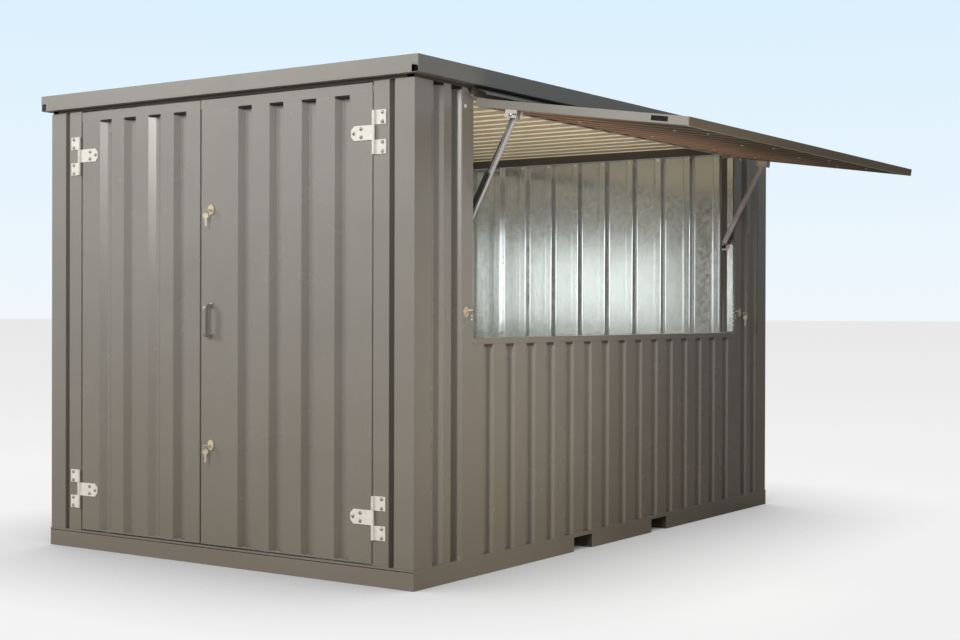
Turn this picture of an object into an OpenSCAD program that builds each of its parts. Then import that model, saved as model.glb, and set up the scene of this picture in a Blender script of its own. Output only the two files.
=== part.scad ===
// Flat-pack kiosk: a steel panel hut with double doors and a serving hatch under a lift-up flap.
// Millimetres. Origin at the outer lower edge of the front base rail, in the middle of the door side.
// +X runs across the door side towards the hatch side, +Y into the room, +Z up.

/* [Overall] */
// Width of the base frame, across the door side
base_w = 2180; // [2100:10:2600]
// Length of the base frame, along the hatch side
base_l = 3445; // [3300:5:4200]
// Height from the ground to the top of the roof edge
total_h = 2150; // [2130:10:2400]
// How far posts and doors stand back from the base frame's faces
face_inset = 3; // [1:0.5:6]

/* [Base frame] */
// Height of the base frame and of the floor
base_h = 84; // [80:1:110]
// Depth of the base rails' flanges
rail_flange = 60; // [55:1:80]
// Sheet thickness of the base rails
rail_t = 3; // [2:0.5:4]
// Height of the front rail under the door sill
front_rail_h = 72; // [60:1:74]
// Open seam between the front rail and the door sill's lip
sill_seam = 3; // [1:0.5:5]
// Sheet thickness of the door sill
door_sill_t = 2; // [1.5:0.5:3]
// Width of the opening of a fork pocket
pocket_w = 170; // [140:5:220]
// Distance between the centres of the two fork pockets
pocket_spacing = 768; // [600:2:1000]
// Sheet thickness of the fork tunnels
tunnel_t = 3; // [2:0.5:4]
// Thickness of the floor boards
floor_t = 15; // [12:1:21]
// Width of a floor bearer
bearer_w = 50; // [40:5:70]
// Sheet thickness of a floor bearer
bearer_t = 2; // [1.5:0.5:3]
// Joint between two floor boards
board_joint = 0.5; // [0.2:0.1:0.9]

/* [Posts and top ring] */
// Width of a corner post on the door side and the end wall
post_w = 100; // [80:1:110]
// Reach of a corner post along the long sides
post_side = 112; // [90:1:116]
// Sheet thickness of the posts
post_t = 2.5; // [2:0.5:3]
// Width of the dark recess between a front post and the door stile
recess_w = 27; // [20:1:32]
// Depth of the door stiles, the door leaves and the recess
door_depth = 40; // [38:1:50]
// Lap of a front post's flange behind the door stile
post_lap = 20; // [12:1:30]
// Width of a door stile
stile_w = 82; // [76:1:90]
// Sheet thickness of the door stiles
stile_t = 2; // [1.5:0.5:3]
// Lap of a wall sheet behind a post
sheet_lap = 15; // [10:1:24]
// Height of the ring of tubes under the roof
ring_h = 46; // [40:1:60]
// Width of the ring's tubes
ring_w = 40; // [32:1:50]
// Wall of the ring's tubes
ring_t = 2.5; // [2:0.5:3]
// How far the ring stands back from the base frame's faces
ring_inset = 8; // [6:1:12]

/* [Roof] */
// Height of the roof edge
fascia_h = 72; // [60:1:80]
// Shadow gap between the wall tops and the roof edge
shadow_gap = 14; // [10:1:20]
// Overhang of the roof edge on the door side and the end wall
overhang_end = 28; // [20:1:40]
// Overhang of the roof edge on the long sides
overhang_side = 37; // [30:1:50]
// Sheet thickness of the roof edge and the gutters
fascia_t = 2; // [1.5:0.5:3]
// Inward fold along the top of the roof edge
fascia_fold = 33; // [25:1:40]
// Width of a gutter outlet at the end of the roof edge
outlet_w = 33; // [25:1:36]
// Height of a gutter outlet
outlet_h = 31; // [20:1:40]
// Number of ribs in the roof sheet
roof_ribs = 22; // [16:1:26]
// Width of a roof rib at its foot
roof_rib_w = 62; // [40:1:80]
// Height of a roof rib
roof_rib_h = 26; // [15:1:30]
// Reach of the roof sheet beyond the ring
roof_eave = 12; // [6:1:18]

/* [Trapezoidal sheets] */
// Thickness of the folded wall sheets
sheet_t = 0.8; // [0.6:0.1:1.5]
// Depth of the grooves in the wall sheets
groove_depth = 30; // [20:1:34]
// Run of a groove's sloping side
groove_flank = 16; // [10:1:20]
// Width of the groove beside a corner post
corner_groove_w = 66; // [50:1:80]
// Distance from the door side to the second groove of a long wall
second_groove = 234; // [220:1:245]
// Width of the second groove of a long wall
second_groove_w = 84; // [60:1:100]
// Number of grooves under the hatch
hatch_grooves = 15; // [10:1:17]
// Width of a groove under the hatch
hatch_groove_w = 71; // [50:1:80]
// Flat from the edge of the hatch to the first groove under it
hatch_groove_margin = 88; // [60:1:110]
// Number of grooves in the end wall
end_grooves = 9; // [7:1:10]
// Width of a groove in the end wall
end_groove_w = 80; // [60:1:90]
// Distance from a back post to the middle of the end wall's first groove
end_groove_margin = 203; // [160:1:240]

/* [Doors] */
// Place of the joint between the door leaves, from the middle
door_joint_x = -98.5; // [-160:0.5:-60]
// Gap between the two door leaves
door_joint_gap = 8; // [7:0.5:12]
// Gap between a leaf and its frame
door_gap = 6; // [6:0.5:9]
// Height of the flat rail along the top of a leaf
leaf_top_rail = 42; // [30:1:60]
// Height of the lip along the bottom of a leaf
leaf_lip = 6; // [5:1:12]
// Sheet thickness of the leaf rails
leaf_rail_t = 2; // [1.5:0.5:3]
// Width of the tubes along a leaf's edges
leaf_tube_w = 30; // [24:1:40]
// Wall of the tubes along a leaf's edges
leaf_tube_t = 2; // [1.5:0.5:3]
// Number of grooves in a leaf
leaf_grooves = 4; // [3:1:4]
// Width of a groove in a leaf
leaf_groove_w = 80; // [60:1:90]
// Middle of the first groove from a leaf's hinge edge
leaf_hinge_margin = 160; // [140:1:180]
// Middle of the last groove from the left leaf's free edge
left_free_margin = 126; // [110:1:140]
// Middle of the last groove from the right leaf's free edge
right_free_margin = 261; // [240:1:280]

/* [Door hinges] */
// Height of the lower hinges
hinge_low_z = 280; // [220:5:400]
// Distance of the upper hinges below the top of a leaf
hinge_top_drop = 204; // [160:2:360]
// How far a hinge's axis stands proud of the door face
hinge_out = 8; // [7:0.5:11]
// Radius of a hinge's barrel
barrel_r = 7; // [6:0.25:7.5]
// Radius of a hinge's pin
pin_r = 4; // [3:0.25:4.5]
// Radial play of a pin in its barrel
pin_play = 0.05; // [0.02:0.01:0.09]
// Play between two barrels on one pin
knuckle_gap = 0.5; // [0.3:0.1:1]
// Thickness of the hinge plates
plate_t = 4; // [3:0.5:5]
// Height of a hinge's frame plate
butt_h = 59; // [45:1:70]
// Width of a hinge's frame plate from the axis
butt_w = 61; // [50:1:64]
// Height of a hinge's strap
strap_h = 61; // [50:1:80]
// Length of a hinge's strap from the axis
strap_l = 121; // [90:1:130]
// Length of the cut corners at a strap's tip
strap_tip = 16; // [8:1:24]

/* [Handle and door locks] */
// Distance of the locks and the handle from the right leaf's free edge
lock_edge = 64; // [45:1:90]
// Height of the lower door lock
lock_low_z = 531; // [400:1:650]
// Distance of the upper door lock below the top of a leaf
lock_top_drop = 488; // [400:2:660]
// Width of a lock's rose
rose_w = 34; // [26:1:40]
// Height of a lock's rose
rose_h = 46; // [41:1:60]
// Thickness of a lock's rose
rose_t = 6; // [3:0.5:9]
// Radius of a lock's plug
plug_r = 8.5; // [6:0.5:10]
// How far a lock's plug stands out of its rose
plug_out = 4; // [1:0.5:5]
// Height of the middle of the pull handle
handle_z = 1081; // [950:1:1200]
// Height of the pull handle with its feet
handle_h = 158; // [120:2:200]
// Height of a handle's foot
foot_h = 26; // [20:1:32]
// Width of a handle's foot
foot_w = 24; // [18:1:30]
// Thickness of a handle's foot
foot_t = 3; // [2:0.5:5]
// Width of the handle's grip
grip_w = 19; // [12:1:24]
// Depth of the handle's grip
grip_d = 14; // [8:1:16]
// Distance of the grip's middle from the foot
grip_out = 37.5; // [32:0.5:50]
// Radius of the bends along the middle of the grip
grip_bend = 14; // [10:1:18]

/* [Hatch] */
// Distance from the door side to the hatch
hatch_end = 420; // [400:1:440]
// Height of the top of the hatch sill
sill_z = 1010; // [900:5:1060]
// Sheet thickness of the hatch sill, the jambs and the header
hatch_t = 2; // [1.5:0.5:3]
// Height of the sill's outer lip
sill_lip = 25; // [15:1:40]
// Height of the sill's inner lip
sill_inner_lip = 50; // [30:1:80]
// Depth of the jambs and the header
jamb_depth = 83; // [78:1:100]
// Width of a jamb
jamb_w = 40; // [30:1:60]
// Height of the header
header_h = 28; // [24:1:28]
// Distance of a hatch lock from the hatch's edge
hatch_lock_edge = 55; // [40:1:80]
// Height of the hatch locks over the sill
hatch_lock_up = 112; // [80:1:200]
// Width of the cut across an end panel's upper corner beside the hatch
cut_w = 48; // [30:1:60]
// Height of the cut across an end panel's upper corner
cut_h = 42; // [30:1:60]
// Depth of the cut, through the sheet and into the jamb
cut_depth = 12; // [6:1:20]

// How far the drip strip over the flap's hinge stands out of the hatch wall
strip_out = 73; // [50:1:80]
// Fall of the drip strip over its slope
strip_fall = 36; // [25:1:38]
// Height of the hem along the drip strip
strip_hem = 6; // [4:1:8]
// Sheet thickness of the drip strip
strip_t = 1.5; // [1:0.5:2]
// How far the drip strip reaches past each end of the hatch
strip_past = 9; // [0:1:20]

/* [Flap] */
// Distance of the flap's hinge axis below the wall tops
flap_hinge_drop = 32; // [31:1:36]
// How far the flap's hinge axis stands out of the hatch wall
flap_hinge_out = 8.5; // [8:0.5:9]
// Slope of the open flap below level, in degrees
flap_slope = 8.4; // [4:0.1:14]
// Gap between the closed flap and the hatch sill
flap_foot_gap = 7; // [6:1:20]
// Thickness of the flap
flap_t = 35; // [33:1:36]
// Gap between the hinge axis and the flap's edge
flap_hinge_gap = 4; // [4:0.5:8]
// Gap between the flap and a jamb
flap_side_gap = 6; // [5.5:0.5:10]
// Drop of the flap's outer face below the hinge axis
flap_face_drop = 5; // [4.5:0.5:6]
// Sheet thickness of the flap's edge channels
edge_t = 2; // [1.5:0.5:2.5]
// Width of the flap's edge channels
edge_w = 34; // [25:1:45]
// Length of the slot in each side edge of the flap
edge_slot_l = 75; // [50:1:100]
// Height of the slot in each side edge of the flap
edge_slot_h = 20; // [10:1:24]
// Distance of the middle of the slot from the flap's free edge
edge_slot_back = 132; // [100:1:200]
// Number of hinges along the flap
flap_hinges = 4; // [3:1:5]
// Length of one part of a flap hinge's barrel
flap_knuckle_l = 40; // [30:1:60]
// Radius of a flap hinge's barrel
flap_barrel_r = 6; // [5.5:0.25:6.5]
// Radius of a flap hinge's pin
flap_pin_r = 3; // [2:0.25:4]
// Length of a flap hinge's plate
flap_plate_l = 45; // [30:1:60]
// Thickness of a flap hinge's plate
flap_plate_t = 4; // [3.5:0.25:4]

/* [Gas struts] */
// Distance from the flap's hinge to the struts' upper pivots, along the flap
strut_along = 185; // [175:1:195]
// Drop of the upper pivots below the plane of the flap's hinge
strut_drop = 62; // [60:1:66]
// Distance of the lower pivots from the hatch wall's face, into the room
strut_in = 59.5; // [56:0.5:62]
// Distance of the struts' lower pivots below the flap's hinge axis
strut_low_drop = 538; // [527:1:547]
// Gap between a jamb and a gas cylinder
strut_side = 12; // [10:0.5:16]
// Radius of a gas cylinder
gas_r = 10; // [8:0.5:11]
// Length of a gas cylinder's tube
gas_l = 232; // [225:1:250]
// Radius of a piston rod
rod_r = 4.5; // [3.5:0.25:5]
// Radius of a lower eye's hole
eye_hole_r = 5; // [4:0.25:6]
// Distance from the end of a gas cylinder's tube to its eye
eye_gap = 15; // [13:0.5:18]
// Length of a stay bar from its upper pivot
bar_l = 490; // [440:5:500]
// Width of a stay bar
bar_w = 27; // [22:1:30]
// Depth of a stay bar's folded edges
bar_d = 12; // [8:0.5:14]
// Sheet thickness of a stay bar
bar_t = 2; // [1.5:0.5:3]
// Space between a gas cylinder and its stay bar
bar_gap = 4; // [2:0.5:6]
// Radius of the pin at a strut's upper pivot
strut_pin_r = 6; // [5:0.25:7]
// Radius of the eye round the upper pin
top_eye_r = 12; // [10.5:0.5:13]
// Length of a strut's bracket on the flap
bracket_l = 58; // [40:1:70]
// Thickness of the strut brackets
bracket_t = 5; // [4:0.5:6]
// Thickness of the plate of a strut bracket beside the jamb
clip_t = 3.5; // [3:0.5:4]
// Clearance between parts that turn side by side
side_play = 0.5; // [0.3:0.1:1]

/* [Hidden] */
$fn = 48;
EPS = 1;

PAINT = "#807a72";
PAINT_DARK = "#5c5850";
ZINC = "#e4ddc8";
GALVANISED = "#b4b9b6";
BRASS = "#b49a5a";
PLYWOOD = "#a58a62";
BLACK = "#2a2a2a";

// Heights and planes that many pieces share
half_w = base_w / 2;
wall_top = total_h - fascia_h - shadow_gap;
fascia_z = total_h - fascia_h;
ring_top = wall_top + ring_h;
floor_z = base_h - floor_t;
post_x = half_w - face_inset;
wall_x = post_x - post_t;
end_y = base_l - face_inset - post_t;
pocket_h = floor_z - tunnel_t;
pocket_ys = [for (side = [-1, 1]) base_l / 2 + side * pocket_spacing / 2];
ring_x = half_w - ring_inset;
hatch_len = base_l - 2 * hatch_end;

// Doors
stile_out = post_x - post_w - recess_w;
stile_in = stile_out - stile_w;
leaf_hinge_x = stile_in - door_gap;
leaf_z0 = base_h + door_gap;
leaf_z1 = wall_top - door_gap;
right_free_x = door_joint_x + door_joint_gap / 2;
left_free_x = door_joint_x - door_joint_gap / 2;
hinge_x = stile_in + door_gap;
hinge_y = face_inset - hinge_out;
hinge_high_z = leaf_z1 - hinge_top_drop;
lock_x = right_free_x + lock_edge;
lock_high_z = leaf_z1 - lock_top_drop;

// Flap and struts
flap_hinge_x = wall_x + flap_hinge_out;
flap_hinge_z = wall_top - flap_hinge_drop;
flap_reach = flap_hinge_z - sill_z - flap_foot_gap;
strut_low_z = flap_hinge_z - strut_low_drop;
flap_y0 = hatch_end + flap_side_gap;
flap_y1 = base_l - flap_y0;
flap_depth = flap_t - 2 * edge_t - sheet_t;
hatch_pitch = (hatch_len - 2 * hatch_groove_margin - hatch_groove_w) / (hatch_grooves - 1);
strut_low_x = wall_x - strut_in;
strut_top_x = flap_hinge_x + strut_along * cos(flap_slope) - strut_drop * sin(flap_slope);
strut_top_z = flap_hinge_z - strut_along * sin(flap_slope) - strut_drop * cos(flap_slope);
strut_dx = strut_low_x - strut_top_x;
strut_dz = strut_low_z - strut_top_z;
strut_l = norm([strut_dx, strut_dz]);
strut_turn = atan2(-strut_dz, strut_dx);
strut_y = hatch_end + strut_side + gas_r;
bar_y = strut_y + gas_r + bar_gap;
closed_l = norm([flap_hinge_x - strut_drop - strut_low_x, flap_hinge_z - strut_along - strut_low_z]);
strut_stroke = strut_l - closed_l;
gas_top = strut_l - eye_gap - gas_l;
rod_grip = 28;
rod_end = gas_top + rod_grip;
bore_spare = 4;
bore_l = strut_stroke + rod_grip + bore_spare;

// Carries a section drawn in (y, z) along X
module along_x(from, to) {
    translate([from, 0, 0]) rotate([90, 0, 90]) linear_extrude(to - from) children();
}

// Carries a section drawn in (x, z) along Y
module along_y(from, to) {
    translate([0, to, 0]) rotate([90, 0, 0]) linear_extrude(to - from) children();
}

// Carries a section drawn in (x, y) upwards
module upright(from, to) {
    translate([0, 0, from]) linear_extrude(to - from) children();
}

// Repeats a piece of the hatch side on the opposite long side
module left_side() {
    mirror([1, 0, 0]) children();
}

// Repeats a piece of the door end at the far end
module far_end() {
    translate([0, base_l, 0]) mirror([0, 1, 0]) children();
}

// Channel of folded sheet, its web along Y at x = 0 and its flanges towards +X
module channel(flange, web, t) {
    difference() {
        square([flange, web]);
        translate([t, t]) square([flange, web - 2 * t]);
    }
}

// Rectangular tube
module tube(w, h, t) {
    difference() {
        square([w, h]);
        translate([t, t]) square([w - 2 * t, h - 2 * t]);
    }
}

// The four points of one groove that starts at s, is w wide and d deep
function groove(s, w, d) = [[s, 0], [s + groove_flank, d], [s + w - groove_flank, d], [s + w, 0]];

// Outer line of a folded sheet from u0 to u1 with a groove at each of starts
function sheet_line(u0, u1, starts, widths, d) =
    concat([[u0, 0]], [for (i = [0 : len(starts) - 1]) each groove(starts[i], widths[i], d)], [[u1, 0]]);

// Folded sheet as a closed outline: its outer line and the same line one thickness further in
module folded_sheet(line) {
    last = len(line) - 1;
    polygon(concat(line, [for (i = [0 : last]) line[last - i] + [0, sheet_t]]));
}

// Grooves of equal width in a row
function row(start, pitch, count) = [for (i = [0 : count - 1]) start + i * pitch];
function same(value, count) = [for (i = [0 : count - 1]) value];

// Grooves beside a corner post
corner_starts = [post_side + face_inset, second_groove];
corner_widths = [corner_groove_w, second_groove_w];
hatch_starts = row(hatch_end + hatch_groove_margin, hatch_pitch, hatch_grooves);
hatch_widths = same(hatch_groove_w, hatch_grooves);
panel_start = post_side + face_inset - sheet_lap;

// Stands a section drawn along the wall in the plane of the hatch wall, grooves towards the room
module in_hatch_wall(from, to) {
    translate([wall_x, 0, from]) rotate([0, 0, 90]) linear_extrude(to - from) children();
}

module base_rail_front() {
    color(PAINT) along_x(rail_t - half_w, half_w - rail_t) channel(rail_flange, front_rail_h, rail_t);
}

module base_rail_back() {
    color(PAINT) far_end()
        along_x(rail_t - half_w, half_w - rail_t) channel(rail_flange, base_h, rail_t);
}

// Long rail: a full-length web, flanges between the cross rails, and openings for the fork tunnels
module side_rail() {
    difference() {
        union() {
            translate([half_w - rail_t, 0, 0]) cube([rail_t, base_l, base_h]);
            along_y(rail_flange, base_l - rail_flange)
                translate([half_w, 0]) mirror([1, 0]) channel(rail_flange, base_h, rail_t);
        }
        for (y = pocket_ys) {
            translate([half_w - rail_t - EPS, y - pocket_w / 2, -EPS])
                cube([rail_t + 2 * EPS, pocket_w, pocket_h + EPS]);
            translate([half_w - rail_flange - EPS, y - pocket_w / 2 - tunnel_t, -EPS])
                cube([rail_flange + EPS - rail_t, pocket_w + 2 * tunnel_t, floor_z + EPS]);
        }
    }
}

module base_rail_right() {
    color(PAINT) side_rail();
}

module base_rail_left() {
    color(PAINT) left_side() side_rail();
}

module fork_tunnels() {
    color(PAINT_DARK) for (y = pocket_ys)
        along_x(rail_t - half_w, half_w - rail_t) translate([y, 0]) difference() {
            translate([-pocket_w / 2 - tunnel_t, 0]) square([pocket_w + 2 * tunnel_t, floor_z]);
            translate([-pocket_w / 2, -EPS]) square([pocket_w, pocket_h + EPS]);
        }
}

module floor_bearers() {
    inner = (rail_flange + pocket_ys[0] - pocket_w / 2 - bearer_w) / 2;
    color(PAINT_DARK) for (y = [rail_flange, inner, (base_l - bearer_w) / 2,
                                base_l - inner - bearer_w, base_l - rail_flange - bearer_w])
        along_x(rail_t - half_w, half_w - rail_t)
            translate([y, rail_t]) channel(bearer_w, floor_z - rail_t, bearer_t);
}

module floor_boards() {
    boards = 3;
    span = (base_l - 2 * rail_flange) / boards;
    color(PLYWOOD) for (i = [0 : boards - 1])
        translate([rail_flange - half_w, rail_flange + i * span, floor_z])
            cube([base_w - 2 * rail_flange, span - (i < boards - 1 ? board_joint : 0), floor_t]);
}

// Folded strip under the doors: a front lip above an open seam, a top, and a leg on the front rail
module door_sill() {
    color(PAINT) along_x(rail_t - half_w, half_w - rail_t) {
        translate([0, front_rail_h + sill_seam]) square([door_sill_t, base_h - front_rail_h - sill_seam]);
        translate([0, base_h - door_sill_t]) square([rail_flange, door_sill_t]);
        translate([rail_flange - door_sill_t, front_rail_h])
            square([door_sill_t, base_h - front_rail_h]);
    }
}

// Front post: a face, a side, a fold back along the recess and a flange behind the door stile
module front_post() {
    x0 = post_x - post_w;
    y1 = face_inset + door_depth;
    upright(base_h, wall_top) polygon([
        [stile_out - post_lap, y1], [x0, y1], [x0, face_inset], [post_x, face_inset],
        [post_x, face_inset + post_side], [wall_x, face_inset + post_side], [wall_x, face_inset + post_t],
        [x0 + post_t, face_inset + post_t], [x0 + post_t, y1 + post_t], [stile_out - post_lap, y1 + post_t]
    ]);
}

// Back post: a face over the end wall and a side over the long wall
module back_post() {
    far_end() upright(base_h, wall_top) translate([post_x, face_inset]) polygon([
        [-post_w, 0], [0, 0], [0, post_side], [-post_t, post_side], [-post_t, post_t], [-post_w, post_t]
    ]);
}

module corner_post_front_left() {
    color(PAINT) left_side() front_post();
}

module corner_post_front_right() {
    color(PAINT) front_post();
}

module corner_post_back_left() {
    color(PAINT) left_side() back_post();
}

module corner_post_back_right() {
    color(PAINT) back_post();
}

module door_stile() {
    upright(base_h, wall_top) translate([stile_out, face_inset]) rotate([0, 0, 90])
        channel(door_depth, stile_w, stile_t);
}

module door_stile_left() {
    color(PAINT) left_side() door_stile();
}

module door_stile_right() {
    color(PAINT) door_stile();
}

module top_ring() {
    color(PAINT_DARK) for (side = [-1, 1]) {
        along_y(ring_inset, base_l - ring_inset)
            translate([side * (ring_x - ring_w / 2) - ring_w / 2, wall_top]) tube(ring_w, ring_h, ring_t);
        along_x(ring_w - ring_x, ring_x - ring_w)
            translate([base_l / 2 + side * (base_l / 2 - ring_inset - ring_w / 2) - ring_w / 2, wall_top])
                tube(ring_w, ring_h, ring_t);
    }
}

module back_wall() {
    open_x = post_x - post_w;
    reach = open_x + sheet_lap;
    first = open_x - end_groove_margin;
    starts = row(-first - end_groove_w / 2, 2 * first / (end_grooves - 1), end_grooves);
    color(PAINT) translate([0, end_y, 0]) rotate([0, 0, 180]) upright(base_h, wall_top)
        folded_sheet(sheet_line(-reach, reach, starts, same(end_groove_w, end_grooves), groove_depth));
}

// End panel of a long wall, full height, from the post to the edge of the hatch
module end_panel(to) {
    in_hatch_wall(base_h, to)
        folded_sheet(sheet_line(panel_start, hatch_end, corner_starts, corner_widths, groove_depth));
}

// Panel between the end panels
module middle_panel(to) {
    in_hatch_wall(base_h, to)
        folded_sheet(sheet_line(hatch_end, base_l - hatch_end, hatch_starts, hatch_widths, groove_depth));
}

module left_wall() {
    color(PAINT) left_side() {
        end_panel(wall_top);
        middle_panel(wall_top);
        far_end() end_panel(wall_top);
    }
}

// Cut across the upper corner beside the hatch, clear of the flap's hinge
module corner_cut() {
    along_x(wall_x - cut_depth, wall_x + EPS) polygon([
        [hatch_end - cut_w, wall_top + EPS], [hatch_end + EPS, wall_top + EPS],
        [hatch_end + EPS, wall_top - cut_h]
    ]);
}

module hatch_end_panel() {
    difference() {
        end_panel(wall_top);
        corner_cut();
    }
}

module hatch_wall_front_panel() {
    color(PAINT) hatch_end_panel();
}

module hatch_wall_back_panel() {
    color(PAINT) far_end() hatch_end_panel();
}

module hatch_wall_lower_panel() {
    color(PAINT) middle_panel(sill_z - hatch_t);
}

// Folded post beside the hatch, open away from it, behind the wall sheet
module jamb() {
    difference() {
        upright(base_h, wall_top) translate([wall_x - sheet_t - jamb_depth, hatch_end])
            rotate([0, 0, -90]) channel(jamb_w, jamb_depth, hatch_t);
        corner_cut();
    }
}

module hatch_jamb_front() {
    color(PAINT) jamb();
}

module hatch_jamb_back() {
    color(PAINT) far_end() jamb();
}

module hatch_sill() {
    inner = wall_x - sheet_t - jamb_depth;
    color(PAINT) along_y(hatch_end, base_l - hatch_end) {
        translate([inner, sill_z - hatch_t]) square([wall_x + hatch_t - inner, hatch_t]);
        translate([wall_x, sill_z - sill_lip]) square([hatch_t, sill_lip]);
        translate([inner, sill_z - sill_inner_lip]) square([hatch_t, sill_inner_lip]);
    }
}

module hatch_header() {
    color(PAINT) along_y(hatch_end, base_l - hatch_end)
        translate([wall_x, wall_top - header_h]) mirror([1, 0])
            channel(jamb_depth + sheet_t, header_h, hatch_t);
}

// Folded strip over the flap's hinge: a leg on the ring, a slope outwards and a hem
module hatch_drip_strip() {
    high = fascia_z - side_play;
    low = high - strip_fall;
    outer = wall_x + strip_out;
    color(PAINT) along_y(hatch_end - strip_past, base_l - hatch_end + strip_past) polygon([
        [ring_x, wall_top], [ring_x, high], [ring_x + strip_t, high], [outer, low],
        [outer, low - strip_hem], [outer - strip_t, low - strip_hem], [outer - strip_t, low - strip_t],
        [ring_x + strip_t, high - 2 * strip_t], [ring_x + strip_t, wall_top]
    ]);
}

module roof_sheet() {
    pitch = base_l / roof_ribs;
    starts = row(pitch / 2 - roof_rib_w / 2, pitch, roof_ribs);
    color(GALVANISED) along_x(-ring_x - roof_eave, ring_x + roof_eave) translate([0, ring_top])
        folded_sheet(sheet_line(
            -roof_eave, base_l + roof_eave, starts, same(roof_rib_w, roof_ribs), roof_rib_h
        ));
}

// Roof edge over the doors: web, bottom flange to the ring, top fold, and a gutter outlet at each end
module fascia() {
    reach = half_w + overhang_side;
    difference() {
        union() {
            along_x(-reach, reach) translate([-overhang_end, fascia_z]) {
                square([fascia_t, fascia_h]);
                translate([0, fascia_h - fascia_t]) square([fascia_fold, fascia_t]);
            }
            along_x(-ring_x, ring_x) translate([-overhang_end, fascia_z])
                square([overhang_end + ring_inset, fascia_t]);
        }
        for (side = [-1, 1])
            translate([side * (reach - outlet_w / 2), -overhang_end - EPS, fascia_z + fascia_t])
                translate([-outlet_w / 2, 0, 0]) cube([outlet_w, fascia_t + 2 * EPS, outlet_h]);
    }
}

module roof_fascia_front() {
    color(PAINT) fascia();
}

module roof_fascia_back() {
    color(PAINT) far_end() fascia();
}

// Roof edge over a long side, which carries the gutter
module gutter() {
    outer = half_w + overhang_side;
    end = overhang_end - fascia_t;
    fold_end = fascia_fold - overhang_end;
    along_y(-end, base_l + end) {
        translate([outer - fascia_t, fascia_z]) square([fascia_t, fascia_h - fascia_t]);
        translate([ring_x, fascia_z]) square([outer - ring_x, fascia_t]);
    }
    along_y(fold_end, base_l - fold_end)
        translate([outer - fascia_fold, total_h - fascia_t]) square([fascia_fold, fascia_t]);
}

module roof_gutter_left() {
    color(PAINT) left_side() gutter();
}

module roof_gutter_right() {
    color(PAINT) gutter();
}

// Places a door hinge's parts at the two heights of the right door's axis
module at_hinges() {
    for (z = [hinge_low_z, hinge_high_z]) translate([hinge_x, hinge_y, z]) children();
}

// Fixed part of a T-hinge: two plates on the stile, each with a barrel
module butt_plates() {
    start = strap_h / 2 + knuckle_gap;
    for (side = [0, 1]) mirror([0, 0, side]) translate([0, 0, start]) difference() {
        union() {
            cylinder(r = barrel_r, h = butt_h);
            translate([0, hinge_out - plate_t, 0]) cube([butt_w, plate_t, butt_h]);
        }
        translate([0, 0, -EPS]) cylinder(r = pin_r + pin_play, h = butt_h + 2 * EPS);
    }
}

// Moving part of a T-hinge: a strap with a cut tip, its barrel, and the pin
module strap() {
    reach = strap_h / 2 + knuckle_gap + butt_h;
    lift = 1;
    rotate([90, 0, 0]) translate([0, 0, -hinge_out]) linear_extrude(plate_t) polygon([
        [-door_gap * 2, -strap_h / 2], [-strap_l + strap_tip, -strap_h / 2],
        [-strap_l, strap_tip - strap_h / 2], [-strap_l, strap_h / 2 - strap_tip],
        [-strap_l + strap_tip, strap_h / 2], [-door_gap * 2, strap_h / 2]
    ]);
    translate([-door_gap * 2, hinge_out - plate_t - lift, -strap_h / 2])
        cube([door_gap * 2, plate_t, strap_h]);
    translate([0, 0, -strap_h / 2]) cylinder(r = barrel_r, h = strap_h);
    translate([0, 0, -reach]) cylinder(r = pin_r, h = 2 * reach);
}

module hinge_plates_right() {
    color(ZINC) at_hinges() butt_plates();
}

module hinge_plates_left() {
    color(ZINC) left_side() at_hinges() butt_plates();
}

module right_hinge_straps() {
    color(ZINC) at_hinges() strap();
}

module left_hinge_straps() {
    color(ZINC) left_side() at_hinges() strap();
}

// Folded door sheet between its edge folds; free is the leaf's free edge, margin its last groove's middle
module leaf_sheet(free, margin) {
    w = leaf_hinge_x - free;
    pitch = (w - leaf_hinge_margin - margin) / (leaf_grooves - 1);
    starts = row(free + margin - leaf_groove_w / 2, pitch, leaf_grooves);
    upright(leaf_z0 + leaf_lip, leaf_z1 - leaf_top_rail) translate([0, face_inset]) {
        folded_sheet(sheet_line(
            free, leaf_hinge_x, starts, same(leaf_groove_w, leaf_grooves), groove_depth
        ));
        for (x = [free, leaf_hinge_x - sheet_t]) translate([x, 0]) square([sheet_t, door_depth]);
    }
}

// Top rail, bottom lip and edge tubes of a leaf
module leaf_frame(free) {
    translate([0, face_inset, 0]) {
        along_x(free, leaf_hinge_x) translate([0, leaf_z1 - leaf_top_rail])
            channel(door_depth, leaf_top_rail, leaf_rail_t);
        along_x(free, leaf_hinge_x) translate([0, leaf_z0]) {
            square([leaf_rail_t, leaf_lip]);
            square([door_depth, leaf_rail_t]);
        }
        upright(leaf_z0 + leaf_rail_t, leaf_z1 - leaf_top_rail)
            for (x = [free + sheet_t, leaf_hinge_x - sheet_t - leaf_tube_w])
                translate([x, leaf_rail_t]) tube(leaf_tube_w, door_depth - leaf_rail_t, leaf_tube_t);
    }
}

module right_leaf_sheet() {
    color(PAINT) leaf_sheet(right_free_x, right_free_margin);
}

module right_leaf_frame() {
    color(PAINT) leaf_frame(right_free_x);
}

module left_leaf_sheet() {
    color(PAINT) left_side() leaf_sheet(-left_free_x, left_free_margin);
}

module left_leaf_frame() {
    color(PAINT) left_side() leaf_frame(-left_free_x);
}

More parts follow.
